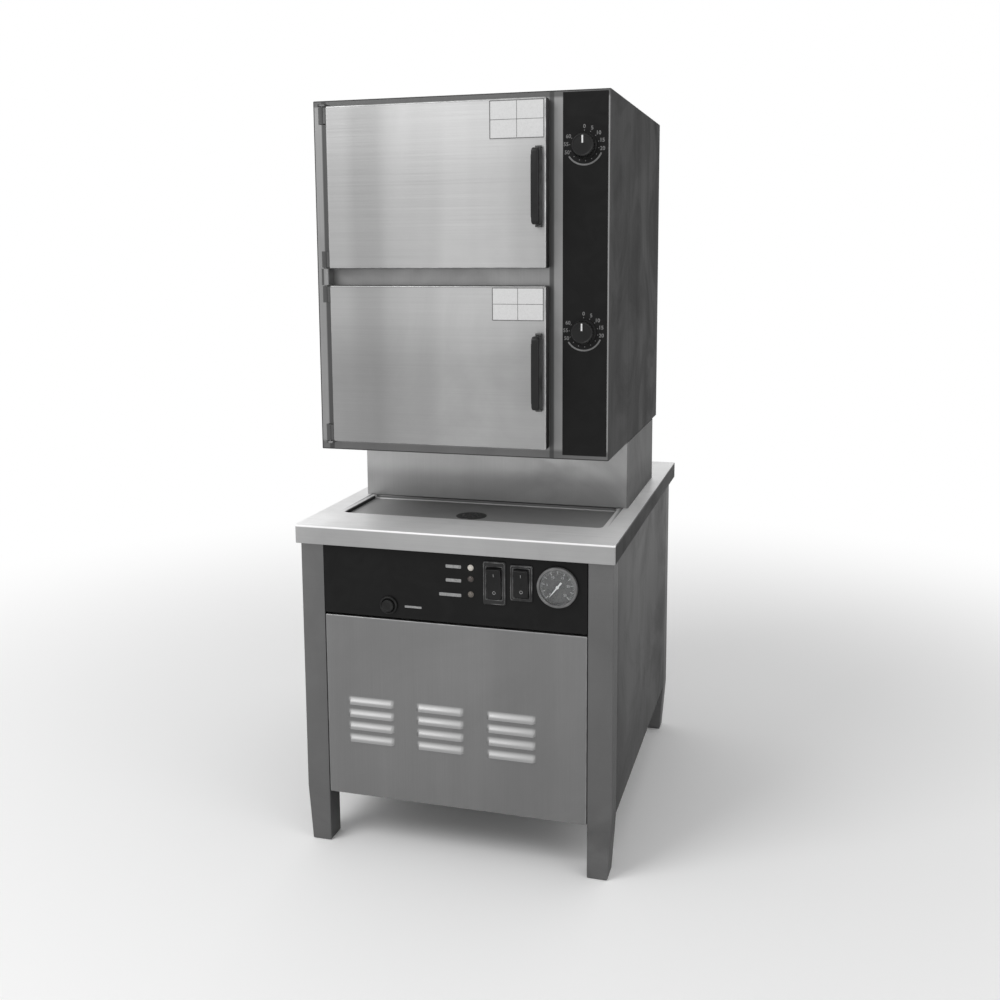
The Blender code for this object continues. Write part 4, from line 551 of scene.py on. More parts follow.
thickened(strainer, 0.0008)

# The louvred access panel: a grey sheet with folded edges, hung between the front legs. Its
# louvres are lanced and pressed forward, so each hood is open below.
panel_low, panel_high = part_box("louvred_front_panel")
face_y = -0.391
fold_radius, flange = 0.0018, 0.0155
louvre_xs = np.array([-0.1632, -0.0255, 0.1122])
louvre_zs = np.array([0.29305, 0.26835, 0.24365, 0.21895])
half_w, rise, end_run = 0.0475, 0.0057, 0.007
edge_run = np.array([-0.1, 0, 0.12, 0.3, 0.5, 0.7, 0.88, 1]) * end_run
fold_run = np.array([0, 0.2, 0.4, 0.6, 0.8, 1]) * fold_radius * pi / 2
back_run = fold_radius * pi / 2 + np.array([0.001, flange - 0.002])


def folded_lines(low, high, inner):
    """Grid lines of a panel: its inner ones, and those of the fold and flange at either end."""
    run = np.concatenate([[-0.002], fold_run, back_run])
    return np.concatenate([low + fold_radius - run[::-1], inner, high - fold_radius + run])


lines_x = folded_lines(panel_low.x, panel_high.x, np.sort(np.concatenate(
    [middle + side * (half_w - edge_run) for middle in louvre_xs for side in (-1, 1)]
)))
hood_rows = np.array([-0.0082, -0.00751, -0.0075, -0.0074, -0.0055, -0.0035, -0.0015, 0.0005,
                      0.0025, 0.0045, 0.0060, 0.0070, 0.0075, 0.0084])
lines_z = folded_lines(panel_low.z, panel_high.z, np.sort(
    (louvre_zs[:, None] + hood_rows).reshape(-1)
))


def folded_over(line, low, high):
    """Where a line of the flat sheet goes: d past the fold's start, an arc of angle d / r turns it
    by r sin across and r (1 - cos) back, and what is left runs straight back."""
    over = np.maximum(line - high + fold_radius, low + fold_radius - line)
    arc = np.clip(over / fold_radius, 0, pi / 2)
    straight = np.maximum(over - fold_radius * pi / 2, 0)
    near = np.where(line > (low + high) / 2, high - fold_radius, low + fold_radius)
    way = np.where(line > (low + high) / 2, 1, -1)
    flat = np.where(over > 0, near + way * fold_radius * np.sin(arc), line)
    return flat, fold_radius * (1 - np.cos(arc)) + straight, over


flat_x, back_x, over_x = folded_over(lines_x, panel_low.x, panel_high.x)
flat_z, back_z, over_z = folded_over(lines_z, panel_low.z, panel_high.z)
across = np.clip((half_w - np.abs(lines_x[:, None] - louvre_xs)) / end_run, 0, 1).max(axis=1)
across = across * across * (3 - 2 * across)
below = lines_z[:, None] - louvre_zs
slope = np.clip((0.0075 - below) / 0.0125, 0, 1)
hood = np.where(below >= -0.007505, np.minimum(slope + 0.5 * slope ** 2, 1.18), 0).max(axis=1)
hood /= 1.18
forward = rise * hood[:, None] * across[None, :]
points = np.stack(np.broadcast_arrays(
    flat_x[None, :], face_y + back_x[None, :] + back_z[:, None] - forward, flat_z[:, None]
), axis=-1)
quads = wrapped_quads(numbered(points))[:, :-1]
lip = (hood[:-1] < 0.5) & (hood[1:] > 0.5) & (np.diff(lines_z) < 0.0001)
open_mouth = lip[:, None] & (across[:-1] + across[1:] > 0.1)[None, :]
corner_notch = (
    (over_z[:-1] + over_z[1:] > 2e-3)[:, None] & (over_x[:-1] + over_x[1:] > 2e-3)[None, :]
)
faces = quads[~(open_mouth | corner_notch)].reshape(-1, 4)
kept, renumbered = np.unique(faces, return_inverse=True)
louvred_mesh = meshed("louvred_panel_sheet", points.reshape(-1, 3)[kept], renumbered)
folds = np.clip(1 - np.abs(np.maximum(over_x[None, :], over_z[:, None]) / fold_radius - 0.8), 0, 1)
# Painted highlight: the tone of each hood is raised where it is pressed forward.
hood_highlight = np.minimum(hood * 3, 1)[:, None] * np.minimum(across * 2, 1)[None, :]
laid(louvred_mesh, "fold", folds.reshape(-1)[kept])
laid(louvred_mesh, "painted_highlight", hood_highlight.reshape(-1)[kept])
smoothed(louvred_mesh, 50)
# Its cut edges are marked sharp too.
sides = np.empty(len(louvred_mesh.loops), np.int32)
louvred_mesh.loops.foreach_get("edge_index", sides)
sharp = louvred_mesh.attributes["sharp_edge"]
edges = np.empty(len(louvred_mesh.edges), bool)
sharp.data.foreach_get("value", edges)
edges |= np.bincount(sides, minlength=len(edges)) == 1
sharp.data.foreach_set("value", edges)
front_steel = brushed_steel("front_panel_steel", 0.205, 0.40, grain=(420, 420, 5), smear=0.2)
louvred = shown("louvred_panel_sheet", louvred_mesh, front_steel, "cabinet", "louvred_front_panel")
thickened(louvred, 0.0011)

# The lower control panel: the same sheet under a black overlay, cut for its fittings. The solid
# stays. Pale printed bars, without words, stand by the lights and the button.


def moulded(name, colour, roughness, speckle=0.25, scale=900.0, gloss=0.3, rub=0.03):
    """Black plastic or overlay: fine stipple in its bump, and dust and rubbing in its tone."""
    made, tree, shader, spot = finish(name)
    dust = used(tree, smear_effect, {"Vector": spot, "Size": 18.0})
    rubbed = used(tree, wear_effect, {"Vector": spot, "Fold": own(tree, "fold")})
    tone = mixed(tree, dust, colour, colour * 1.25 + 0.001)
    tone = mixed(tree, rubbed, tone, colour * 2.2 + rub)
    tree.links.new(tone, shader.inputs["Base Color"])
    rough = ranged(tree, dust, 0, 1, roughness, roughness + 0.18)
    tree.links.new(rough, shader.inputs["Roughness"])
    shader.inputs["Specular IOR Level"].default_value = gloss
    stipple = bumped(tree, noise(tree, spot, scale, 2.0), speckle, 0.0003)
    tree.links.new(stipple, shader.inputs["Normal"])
    return made


overlay = moulded("black_overlay", 0.006, 0.34, speckle=0.06, gloss=0.14)
refinished(overlay, "lower_control_panel")


def printed_bar(low_x, high_x, low_z, high_z, y):
    """A flat printed bar on a front-facing plane, with slightly rounded corners."""
    corner = min((high_z - low_z) * 0.2, (high_x - low_x) * 0.2, 0.0015)
    rings = [(
        (high_x - low_x) / 2, (high_z - low_z) / 2, corner, 0,
        (low_x + high_x) / 2, (low_z + high_z) / 2
    )]
    return ringed_skin("printed_bar", (0, y, 0), "-Y", rings, [0], arc_steps=3, caps=(False, True))


def joined(name, meshes):
    """Several meshes as one: their points, corners and faces are put one after the other."""
    spots, corners, starts = [], [], []
    point_count = corner_count = 0
    for mesh in meshes:
        corner = np.empty(len(mesh.loops), np.int32)
        start = np.empty(len(mesh.polygons), np.int32)
        mesh.loops.foreach_get("vertex_index", corner)
        mesh.polygons.foreach_get("loop_start", start)
        spots.append(points_of(mesh).reshape(-1))
        corners.append(corner + point_count)
        starts.append(start + corner_count)
        point_count += len(mesh.vertices)
        corner_count += len(mesh.loops)
        bpy.data.meshes.remove(mesh)
    made = bpy.data.meshes.new(name)
    made.vertices.add(point_count)
    made.loops.add(corner_count)
    made.polygons.add(sum(map(len, starts)))
    made.vertices.foreach_set("co", np.concatenate(spots))
    made.loops.foreach_set("vertex_index", np.concatenate(corners).astype(np.int32))
    made.polygons.foreach_set("loop_start", np.concatenate(starts).astype(np.int32))
    made.update(calc_edges=True)
    return smoothed(made)


def print_ink(name, tone, worn=0.5):
    """Screen-printed ink: a matt grey that is slightly worn through in flecks."""
    made, tree, shader, spot = finish(name)
    flecks = used(tree, smear_effect, {"Vector": spot, "Size": 260.0})
    tree.links.new(mixed(tree, flecks, tone, tone * (1 - worn)), shader.inputs["Base Color"])
    shader.inputs["Roughness"].default_value = 0.5
    return made


ink_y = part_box("lower_control_panel")[0].y - 0.00015
pale_ink = print_ink("pale_ink", 0.30)
dim_ink = print_ink("dim_ink", 0.17)
bars = [
    printed_bar(-0.0110, 0.0185, 0.5665, 0.5725, ink_y),
    printed_bar(-0.0110, 0.0185, 0.5405, 0.5465, ink_y),
    printed_bar(-0.0240, 0.0185, 0.5130, 0.5190, ink_y),
    printed_bar(-0.0920, -0.0590, 0.4842, 0.4882, ink_y),
]
shown("panel_printed_bars", joined("panel_printed_bars", bars), pale_ink, "cabinet")

# The pressure gauge: a round moulded case with a pale rim, a printed dark dial on its floor, a
# light needle on a hub, and a flat lens pressed into the rim.
overlay_y = -0.3913
gauge_at = (0.1993, overlay_y, 0.546)
rim_profile = [
    (0.037, 0.0), (0.037, 0.0070), (0.0358, 0.0080), (0.0336, 0.0080), (0.0322, 0.0073),
    (0.0318, 0.0055), (0.0318, 0.0011), (0.0, 0.0011)
]


def turned(name, centre, profile, radius=0.0006, arc_steps=16, caps=(True, True)):
    """A round piece: the eased (radius, lift) profile swept about the forward way."""
    spots, turn = eased(profile, radius)
    rings = [(max(r, 0.00002), max(r, 0.00002), max(r, 0.00002), lift, 0, 0) for r, lift in spots]
    return ringed_skin(name, centre, "-Y", rings, turn, arc_steps=arc_steps, caps=caps)


case_plastic = moulded("gauge_case_plastic", 0.115, 0.42, speckle=0.15, scale=500.0)
shown(
    "pressure_gauge_case_body", turned("gauge_case", gauge_at, rim_profile), case_plastic,
    "cabinet", "pressure_gauge_case"
)


def dial_print(name, centre, y, marks, steps=1):
    """Printed wedges on a face: each mark is (clock angle, half angle, inner, outer radius).

    A mark's points are centre + r (sin a, cos a), with a from its angle - half to + half in
    even steps, and r its inner and its outer radius.
    """
    turn, half, inner, outer = np.asarray(marks, float).T[..., None]
    angle = np.radians(turn + half * np.linspace(-1, 1, steps + 1))[..., None]
    radius = np.stack([inner, outer], axis=-1) + 0 * angle
    spots = np.array((centre[0], y, centre[2])) + set_out(
        "-Y", radius * np.sin(angle), radius * np.cos(angle), 0
    )
    return meshed(name, spots, wrapped_quads(numbered(spots))[..., :-1, [0, 3, 2, 1]])


def lettered(name, words, size, y, boldness=0.0):
    """Plain figures as a mesh on a front-facing plane: each word is (text, x, z) of its middle.

    Boldness is how far the outline of each figure is moved out.
    """
    meshes = []
    for text, x, z in words:
        curve = bpy.data.curves.new(name, "FONT")
        curve.body = text
        curve.size = size
        curve.offset = boldness
        curve.align_x = "CENTER"
        curve.align_y = "CENTER"
        curve.resolution_u = 3
        holder = bpy.data.objects.new(name, curve)
        mesh = bpy.data.meshes.new_from_object(holder)
        bpy.data.objects.remove(holder)
        bpy.data.curves.remove(curve)
        mesh.transform(Matrix.Translation((x, y, z)) @ Matrix.Rotation(pi / 2, 4, "X"))
        meshes.append(mesh)
    return joined(name, meshes)


scale_turns = np.arange(-135, 136, 27)
marks = [(turn, 1.7, 0.0240, 0.0300) for turn in scale_turns]
marks += [(turn, 0.6, 0.0272, 0.0300) for turn in np.arange(-135, 136, 5.4)]
dial_y = gauge_at[1] - 0.00125


def round_dial(centre, reach, figures):
    """Places of figures round a dial, from (text, clock angle) pairs."""
    return [
        (text, centre[0] + reach * sin(radians(turn)), centre[2] + reach * cos(radians(turn)))
        for text, turn in figures
    ]


figures = round_dial(
    gauge_at, 0.0195, [(str(5 * step), turn) for step, turn in enumerate(scale_turns[::2])]
)
dial_ink = print_ink("dial_ink", 0.55, worn=0.2)
ticks = dial_print("gauge_ticks", gauge_at, dial_y, marks)
arc = dial_print("gauge_arc", gauge_at, dial_y, [(0, 135, 0.0303, 0.0309)], steps=60)
shown("gauge_dial_marks", joined("gauge_marks", [ticks, arc]), dial_ink, "cabinet")
shown("gauge_dial_figures", lettered("gauge_figures", figures, 0.0062, dial_y), dial_ink, "cabinet")

# The needle, which turns about the hub: long pointed end down left at rest, short wide tail.
rest_turn = radians(218)
along = np.array([sin(rest_turn), 0, cos(rest_turn)])
beside = np.array([cos(rest_turn), 0, -sin(rest_turn)])
needle_line = [
    (-0.0118, 0.0020), (-0.0040, 0.0014), (0.0, 0.0014), (0.0120, 0.0011), (0.0238, 0.0003)
]
reach, half = np.array(needle_line).T[..., None]
side = half * (-1, -1, 0, 1, 1)
lift = 0.0027 + np.array([0, 0.0007, 0.0010, 0.0007, 0]) + 0 * side
needle_points = (
    np.array(gauge_at) + reach[..., None] * along + side[..., None] * beside
    + lift[..., None] * (0, -1, 0)
)
needle_mesh = skin("needle_blade", needle_points)
hub_profile = [(0.0029, 0.0024), (0.0029, 0.0046), (0.0, 0.0050)]
hub_mesh = turned("needle_hub", gauge_at, hub_profile, radius=0.0003)
needle_paint = moulded("needle_paint", 0.80, 0.35, speckle=0.05)
needle_whole = joined("needle", [needle_mesh, hub_mesh])
shown("gauge_needle_blade", needle_whole, needle_paint, "needle", "gauge_needle")

# The lens, slightly hazed by wiping.
clear, tree, shader, spot = finish("gauge_lens_plastic")
shader.inputs["Base Color"].default_value = (0.97, 0.98, 0.98, 1)
shader.inputs["Transmission Weight"].default_value = 1.0
shader.inputs["IOR"].default_value = 1.25
hazed = used(tree, smear_effect, {"Vector": spot, "Size": 60.0})
tree.links.new(ranged(tree, hazed, 0, 1, 0.02, 0.16), shader.inputs["Roughness"])
lens_profile = [(0.0314, 0.0060), (0.0314, 0.0074), (0.0308, 0.0078), (0.0, 0.0082)]
lens_mesh = turned("gauge_lens", gauge_at, lens_profile, radius=0.0003)
shown("gauge_lens_disc", lens_mesh, clear, "cabinet", "gauge_lens")

# Three indicator lights: a domed coloured lens with a snap-in flange. The top one shows bright.


def lens_plastic(name, colour, glow):
    """Tinted lens plastic with a faint cell pattern inside and a little light of its own."""
    made, tree, shader, spot = finish(name)
    cells = placed(tree, "ShaderNodeTexVoronoi", {"Vector": spot, "Scale": 900.0}).outputs[0]
    tint = mixed(tree, cells, colour, [part * 0.6 for part in colour])
    tree.links.new(tint, shader.inputs["Base Color"])
    tree.links.new(tint, shader.inputs["Emission Color"])
    shader.inputs["Emission Strength"].default_value = glow
    shader.inputs["Roughness"].default_value = 0.18
    shader.inputs["Coat Weight"].default_value = 0.4
    return made


lamps_x = 0.037
lamps = [
    ("indicator_light_1", 0.5696, (0.55, 0.52, 0.47), 0.2),
    ("indicator_light_2", 0.5485, (0.055, 0.040, 0.034), 0.0),
    ("indicator_light_3", 0.5196, (0.13, 0.11, 0.09), 0.02),
]
lamp_profile = [
    (0.0056, 0.0003), (0.0056, 0.0010), (0.0044, 0.0012), (0.0042, 0.0022), (0.0030, 0.0033),
    (0.0, 0.0038)
]
for node, lamp_z, colour, glow in lamps:
    dome = turned(
        node + "_dome", (lamps_x, face_y, lamp_z), lamp_profile, radius=0.0003, arc_steps=8,
        caps=(True, False)
    )
    shown(node + "_dome", dome, lens_plastic(node + "_lens", colour, glow), "cabinet", node)

# Two rocker switches: a moulded bezel, and in it a rocker that is dished between two pads. The
# bezel's edges have greyed where hands and cloths rub them.
switch_black = moulded("switch_black", 0.008, 0.34, speckle=0.15, scale=700.0, gloss=0.2)
bezel_grey = moulded("bezel_grey", 0.022, 0.42, speckle=0.2, scale=600.0, gloss=0.2, rub=0.45)
tilt, ink_lift, mark_w, mark_h = radians(7), 0.0001, 0.0005, 0.0030


def pad_lift(u, v):
    """How far a rocker's face stands out: proud + crown * |v|^1.3 - dish * sin(pi |v|) *
    (1 - u^4), with u and v from -1 to 1 over its width and its height."""
    return 0.0062 + 0.0026 * np.abs(v) ** 1.3 - 0.0016 * np.sin(pi * np.abs(v)) * (1 - u ** 4)


def rocker_mesh(name, centre, half_w, half_h, lean):
    """A rocker with two dished pads: rings across its outline, and a top that follows
    pad_lift, then leaned."""
    across = np.concatenate([[-1, -1], np.linspace(-0.94, 0.94, 9), [1, 1]])
    along_rows = np.concatenate([[-1, -1], np.linspace(-0.97, 0.97, 25), [1, 1]])
    u, v = np.meshgrid(across, along_rows)
    lift = pad_lift(u, v)
    sunk = np.ones(u.shape, bool)
    sunk[1:-1, 1:-1] = False
    rim = (np.abs(u) == 1) | (np.abs(v) == 1)
    lift = np.where(rim, lift - 0.0007, lift)
    lift = np.where(sunk, -0.001, lift)
    z = v * half_h
    spots = np.array(centre) + set_out(
        "-Y", u * half_w, z * np.cos(lean) - lift * np.sin(lean),
        lift * np.cos(lean) + z * np.sin(lean)
    )
    index = numbered(spots)
    border = np.concatenate([index[0, :-1], index[:-1, -1], index[-1, :0:-1], index[:0:-1, 0]])
    made = meshed(name, spots, wrapped_quads(index)[:, :-1], [border[::-1]])
    laid(made, "fold", (rim & ~sunk) * 0.8)
    return smoothed(made, 42)


# Name, x and z, half width and height of the bezel and of the rocker, and the rocker's body.
switches = [
    ("main", 0.082, 0.5445, 0.02075, 0.040, 0.013, 0.0282, "main_rocker"),
    ("delime", 0.1327, 0.548, 0.02075, 0.033, 0.01275, 0.0252, "delime_rocker"),
]
for switch, x, z, bezel_w, bezel_h, rocker_w, rocker_h, body in switches:
    open_w, open_h = rocker_w + 0.0014, rocker_h + 0.0016
    rings = [
        (bezel_w, bezel_h, 0.003, 0.0003, 0, 0), (bezel_w, bezel_h, 0.003, 0.0030, 0, 0),
        (bezel_w - 0.0016, bezel_h - 0.0016, 0.0025, 0.0040, 0, 0),
        (open_w + 0.0012, open_h + 0.0012, 0.0015, 0.0040, 0, 0),
        (open_w, open_h, 0.0010, 0.0030, 0, 0), (open_w, open_h, 0.0010, -0.0130, 0, 0)
    ]
    spots, turn = eased(rings, 0.0005, steps=3)
    frame_mesh = ringed_skin(
        switch + "_bezel", (x, face_y, z), "-Y", spots, turn, arc_steps=4, caps=(True, True)
    )
    shown(switch + "_switch_bezel_frame", frame_mesh, bezel_grey, "cabinet",
          switch + "_switch_bezel")
    rocker = rocker_mesh(switch + "_rocker", (x, overlay_y, z), rocker_w, rocker_h, tilt)
    shown(switch + "_switch_rocker_pad", rocker, switch_black, body, switch + "_switch_rocker")
    # Its on and off marks, a bar above and a ring below, printed on the leaning pads. They
    # are drawn flat, and then follow the pads' dish.
    mark_z = rocker_h * 0.60
    on_mark = printed_bar(
        x - mark_w, x + mark_w, z + mark_z - mark_h, z + mark_z + mark_h, 0
    )
    off_mark = dial_print("off", (x, 0, z - mark_z), 0, [(0, 180, 0.0021, mark_h)], steps=24)
    marks = joined(switch + "_marks", [on_mark, off_mark])
    ink = points_of(marks)
    ink[:, 1] = -ink_lift - pad_lift((ink[:, 0] - x) / rocker_w, (ink[:, 2] - z) / rocker_h)
    ink[:, [0, 2]] -= (x, z)
    marks.vertices.foreach_set("co", ink.reshape(-1))
    marks.transform(Matrix.Translation((x, overlay_y, z)) @ Matrix.Rotation(tilt, 4, "X"))
    shown(switch + "_switch_marks", marks, pale_ink, body)

# The reset button: a short collar round a button with a soft dish.
collar_profile = [
    (0.017, 0.0), (0.017, 0.0038), (0.0158, 0.0050), (0.0140, 0.0050), (0.0124, 0.0040),
    (0.0120, 0.0026), (0.0120, -0.0150)
]
button_profile = [
    (0.0115, -0.0090), (0.0115, 0.0082), (0.0106, 0.0095), (0.0080, 0.0092), (0.0, 0.0085)
]
reset_at = (-0.1233, overlay_y, 0.4868)
collar = turned("reset_collar", reset_at, collar_profile)
shown("reset_button_collar_ring", collar, switch_black, "cabinet", "reset_button_collar")
button = turned("reset_cap", reset_at, button_profile)
shown("reset_button_cap", button, switch_black, "reset", "reset_button")

# The pedestal: a wrapped sheet, hollow round the pipes, with painted shade near the counter and on
# its sides.
pedestal_steel = brushed_steel("pedestal_steel", 0.42, 0.40, grain=(420, 420, 5), smear=0.6,
                               glance=0.4, painted_shade_bands=[("Z", 0.632, 0.075, 0.35),
                                                   ("X", 0.278, 0.004, 0.7)])
refinished(pedestal_steel, "pedestal")

# The head's casing and rear panel: a wrapped sheet with vertical grain, whose very dark tone and
# upright stripes are painted shade and painted reflections. Its front frame and the hinge brackets
# are paler, with bands of painted shade by the hinges, the edges and the doors.
casing_steel = brushed_steel("head_casing_shaded_steel", 0.065, 0.38, grain=(420, 420, 5), smear=0.5,
                             glance=0.36, painted_reflections=0.2)
refinished(casing_steel, "head_casing", "head_rear_panel")
# Painted shade: dark bands in the hinge line, along its top and its foot, and in the gap right of
# the doors.
frame_steel = brushed_steel("front_frame_steel", 0.28, 0.34, grain=(420, 420, 5), smear=0.5,
                            painted_shade_bands=[("X", -0.2575, 0.0065, 0.85), ("Z", 1.411, 0.011, 0.7),
                                    ("Z", 0.770, 0.016, 0.6), ("X", 0.1735, 0.0055, 0.8)])
refinished(
    frame_steel, "head_front_frame", "top_hinge_bracket", "middle_hinge_bracket",
    "bottom_hinge_bracket"
)

# Hex washer-head screws: they hold the two rear panels to the legs and to the casing, so the
# boiler and the pipes can be reached from behind.


def hex_screws(name, places, way):
    """Screws on a flat face: rings r(a) out from each place, with a running through a full turn.

    A round ring has r(a) = r, and a hexagonal one r / cos((a mod 60) - 30 degrees).
    """
    rings = np.array([
        (0.0055, 0, 0), (0.0055, 0.0009, 0), (0.0048, 0.0012, 0), (0.0032, 0.0012, 1),
        (0.0032, 0.0036, 1), (0.0028, 0.0040, 1), (0.0017, 0.0040, 0), (0.00002, 0.0037, 0)
    ])
    radius, lift, hexed = (rings[:, [k]] for k in range(3))
    angle = np.linspace(0, 2 * pi, 24, endpoint=False)
    radius = radius * (1 + hexed * (1 / np.cos(angle % (pi / 3) - pi / 6) - 1))
    head = set_out(way, radius * np.cos(angle), radius * np.sin(angle), lift)
    points = np.asarray(places, float)[:, None, None] + head
    index = numbered(points)
    ends = [*index[:, 0, ::-1], *index[:, -1]]
    return smoothed(meshed(name, points, wrapped_quads(index), ends), 32)


screw_steel = brushed_steel("screw_steel", 0.38, 0.32, grain=(300, 300, 300), smear=0.3)
for node, rows, inset in (("rear_panel", 3, 0.014), ("head_rear_panel", 4, 0.016)):
    low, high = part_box(node)
    heights = np.linspace(low.z + 0.030, high.z - 0.030, rows)
    places = [(x, high.y, z) for x in (low.x + inset, high.x - inset) for z in heights]
    places += [(0, high.y, heights[0] - 0.014), (0, high.y, heights[-1] + 0.014)]
    shown(node + "_screws", hex_screws(node + "_screws", places, "+Y"), screw_steel, "cabinet")

# The two compartments with their pan guides and the door liners: deep-drawn stainless, with the
# pale bloom that steam and hard water leave.
wet_steel = brushed_steel(
    "compartment_steel", 0.36, 0.34, grain=(300, 7, 7), smear=0.4, smear_size=8.0
)
for level in ("upper", "lower"):
    refinished(
        wet_steel, level + "_compartment", level + "_pan_guide_left", level + "_pan_guide_right",
        level + "_door_liner"
    )

# Door gaskets: silicone rings in the liners, and behind the strip the two moulded timers.
refinished(
    moulded("gasket_silicone", 0.07, 0.55, speckle=0.3, scale=300.0),
    "upper_door_gasket", "lower_door_gasket"
)
timer_case = moulded("timer_case", 0.03, 0.45, speckle=0.2, scale=600.0)
refinished(timer_case, "upper_timer", "lower_timer")

# The control strip: a black overlay on the head's right edge.
refinished(overlay, "control_strip")

# Door shells: brushed stainless pans with folded sides, hinged on the left.
hinge_x, hinge_y, door_back = -0.2525, -0.350, -0.3334
door_middle_x, door_half_w, door_half_h, door_deep, hem = -0.03625, 0.20575, 0.146, 0.0245, 0.0012
block_reach, block_tall = 0.1445, 0.030
ear_x, ear_y, ear_reach, ear_half, handle_drop = 0.158, -0.3643, 0.0673, 0.0019, 0.006
door_left = door_middle_x - door_half_w
# Each door's tone, and the height and the share of the painted shade along its foot. The lower
# door's darker tone is painted shade too.
door_looks = {"upper": (0.50, 1.109, 0.16), "lower": (0.44, 0.786, 0.30)}
pin_steel = brushed_steel("pin_steel", 0.10, 0.40, grain=(300, 300, 300), smear=0.5)
for level, z in (("upper", 1.255), ("lower", 0.932)):
    pan_rings = [
        (door_half_w - inset, door_half_h - inset, corner, lift, 0, 0)
        for inset, corner, lift in (
            (hem, 0.0015, 0.0228), (hem, 0.0015, 0), (0, 0.0025, 0), (0, 0.0025, door_deep),
            (0.020, 0.0010, door_deep)
        )
    ]
    spots, turn = eased(pan_rings, [0.0004, 0.0004, 0.0036], steps=7)
    pan_skin = ringed_skin(
        level + "_door_pan", (door_middle_x, door_back, z), "-Y", spots, turn
    )
    tone, foot, share = door_looks[level]
    # Painted shade: the door darkens towards its foot and its left edge.
    door_steel = brushed_steel(
        level + "_door_steel", tone, 0.34, grain=(4, 4, 560), smear=0.35, smear_size=4.5,
        glance=0.4, painted_reflections=0.10, painted_shade_bands=[("Z", foot, 0.26, share), ("X", door_left, 0.16, 0.22)]
    )
    # Painted shade: the pan's side walls are darkened almost fully, and its top edge by half.
    spots = points_of(pan_skin)
    above = spots[:, 2] - z - door_half_h
    on_side = (spots[:, 1] > door_back - door_deep + 0.0042) & (above < -0.004)
    laid(pan_skin, "painted_shade", np.select([on_side, above > -0.0034], [0.97, 0.5], 0))
    # The pivot blocks on its left, and the ears with pins that carry the handle.
    parts = []
    for way in (-1, 1):
        outer = z + way * block_reach
        low = min(outer, outer - way * block_tall)
        drum, turn = eased([
            (reach, reach, reach, lift, 0, 0) for reach, lift in
            ((0.0034, 0), (0.0064, 0), (0.0064, block_tall), (0.0034, block_tall))
        ], 0.0004)
        parts.append(ringed_skin(
            "drum", (hinge_x, hinge_y, low), "+Z", drum, turn, ring_closed=True,
            caps=(False, False)
        ))
        web, turn = eased([
            (0.003, half, corner, lift, 0.0075, 0) for half, corner, lift in
            ((0.0056, 0.0004, 0.0006), (0.0060, 0.0008, 0.0006), (0.0060, 0.0008, 0.0294),
             (0.0056, 0.0004, 0.0294))
        ], 0.0001)
        parts.append(ringed_skin("web", (hinge_x, hinge_y, low), "+Z", web, turn))
        low = (z - handle_drop) + way * ear_reach - ear_half
        ear = [
            (0.0057 + out, 0.0062 + out, 0.0055 + out, lift, 0, 0)
            for out, lift in ((0, 0), (0.0002, 0.0003), (0.0002, 0.0035), (0, 0.0038))
        ]
        parts.append(ringed_skin("ear", (ear_x, ear_y, low), "+Z", ear, [1] * 4, arc_steps=8))
    shown(level + "_door_pan", pan_skin, door_steel, level + "_door", level + "_door_shell")
    shown(level + "_door_pivots", joined(level + "_pivots", parts), pin_steel, level + "_door")

# Two door handles: a moulded black lever, open behind the grip and closed at its ends.
handle_black = moulded("handle_black", 0.006, 0.34, speckle=0.3, scale=420.0, gloss=0.30)


def handle_mesh(name, centre):
    """A lever of C section drawn along its height.

    The section's inner corner F runs from the grip's (2.75, 29.5) mm to the closed end's
    (-6.75, 0.8) mm by a smooth step between 52 and 56 mm from the middle. The front is crowned by
    1.4 (z / 65)^2 mm, and rounds off over the last 7 mm of each end. The back corner by the pins
    is cut off by 3.8 mm, so that it clears the door as the lever turns.
    """
    sections = []
    back, ledge, cut = 0.0008, 0.0295, 0.0038
    bends = np.array([0.0036, 0.0040, 0.0015, 0.0015, 0.0002, 0.0015, 0.0008])
    heights = np.concatenate([
        np.linspace(0, 50, 9), [52, 53, 54, 55, 56, 57.5, 59, 60.5, 62, 63, 64, 64.6, 65]
    ])
    heights = np.concatenate([-heights[:0:-1], heights]) * 0.001
    for z in heights:
        step = np.clip((abs(z) - 0.052) / 0.004, 0, 1)
        step = step * step * (3 - 2 * step)
        end = np.clip((abs(z) - 0.058) / 0.007, 0, 1)
        rounding = 1 - np.sqrt(max(1 - end * end, 0))
        half = 0.00675 - 0.0020 * rounding
        front = 0.034 - (0.0014 * (z / 0.065) ** 2 + 0.007 * rounding)
        f_across = 0.00275 * (1 - step) - half * step
        f_out = ledge * (1 - step) + (back + 0.0001) * step
        corners = np.array([
            (-half, front), (half, front), (half, back + cut), (half - cut, back),
            (0.00275, back), (f_across, f_out),
            (-half, min(ledge, front - 0.002) * (1 - step) + (back + 0.0003) * step)
        ])
        looped = np.concatenate([corners[-1:], corners, corners[:1]])
        spans = np.linalg.norm(np.diff(looped, axis=0), axis=1)
        radii = np.minimum(bends, 0.30 * np.minimum(spans[:-1], spans[1:]))
        loop, turn = eased(looped, radii, steps=5)
        sections.append(loop[-2:0:-1])
    across, out = np.moveaxis(np.array(sections), -1, 0)
    return skin(name, np.array(centre) + set_out("-Y", across, heights[:, None], out))


lever_x, lever_y = 0.15725, -0.3579
for level, z in (("upper", 1.249), ("lower", 0.926)):
    lever = handle_mesh(level + "_handle", (lever_x, lever_y, z))
    shown(level + "_door_handle_lever", lever, handle_black, level + "_handle",
          level + "_door_handle")

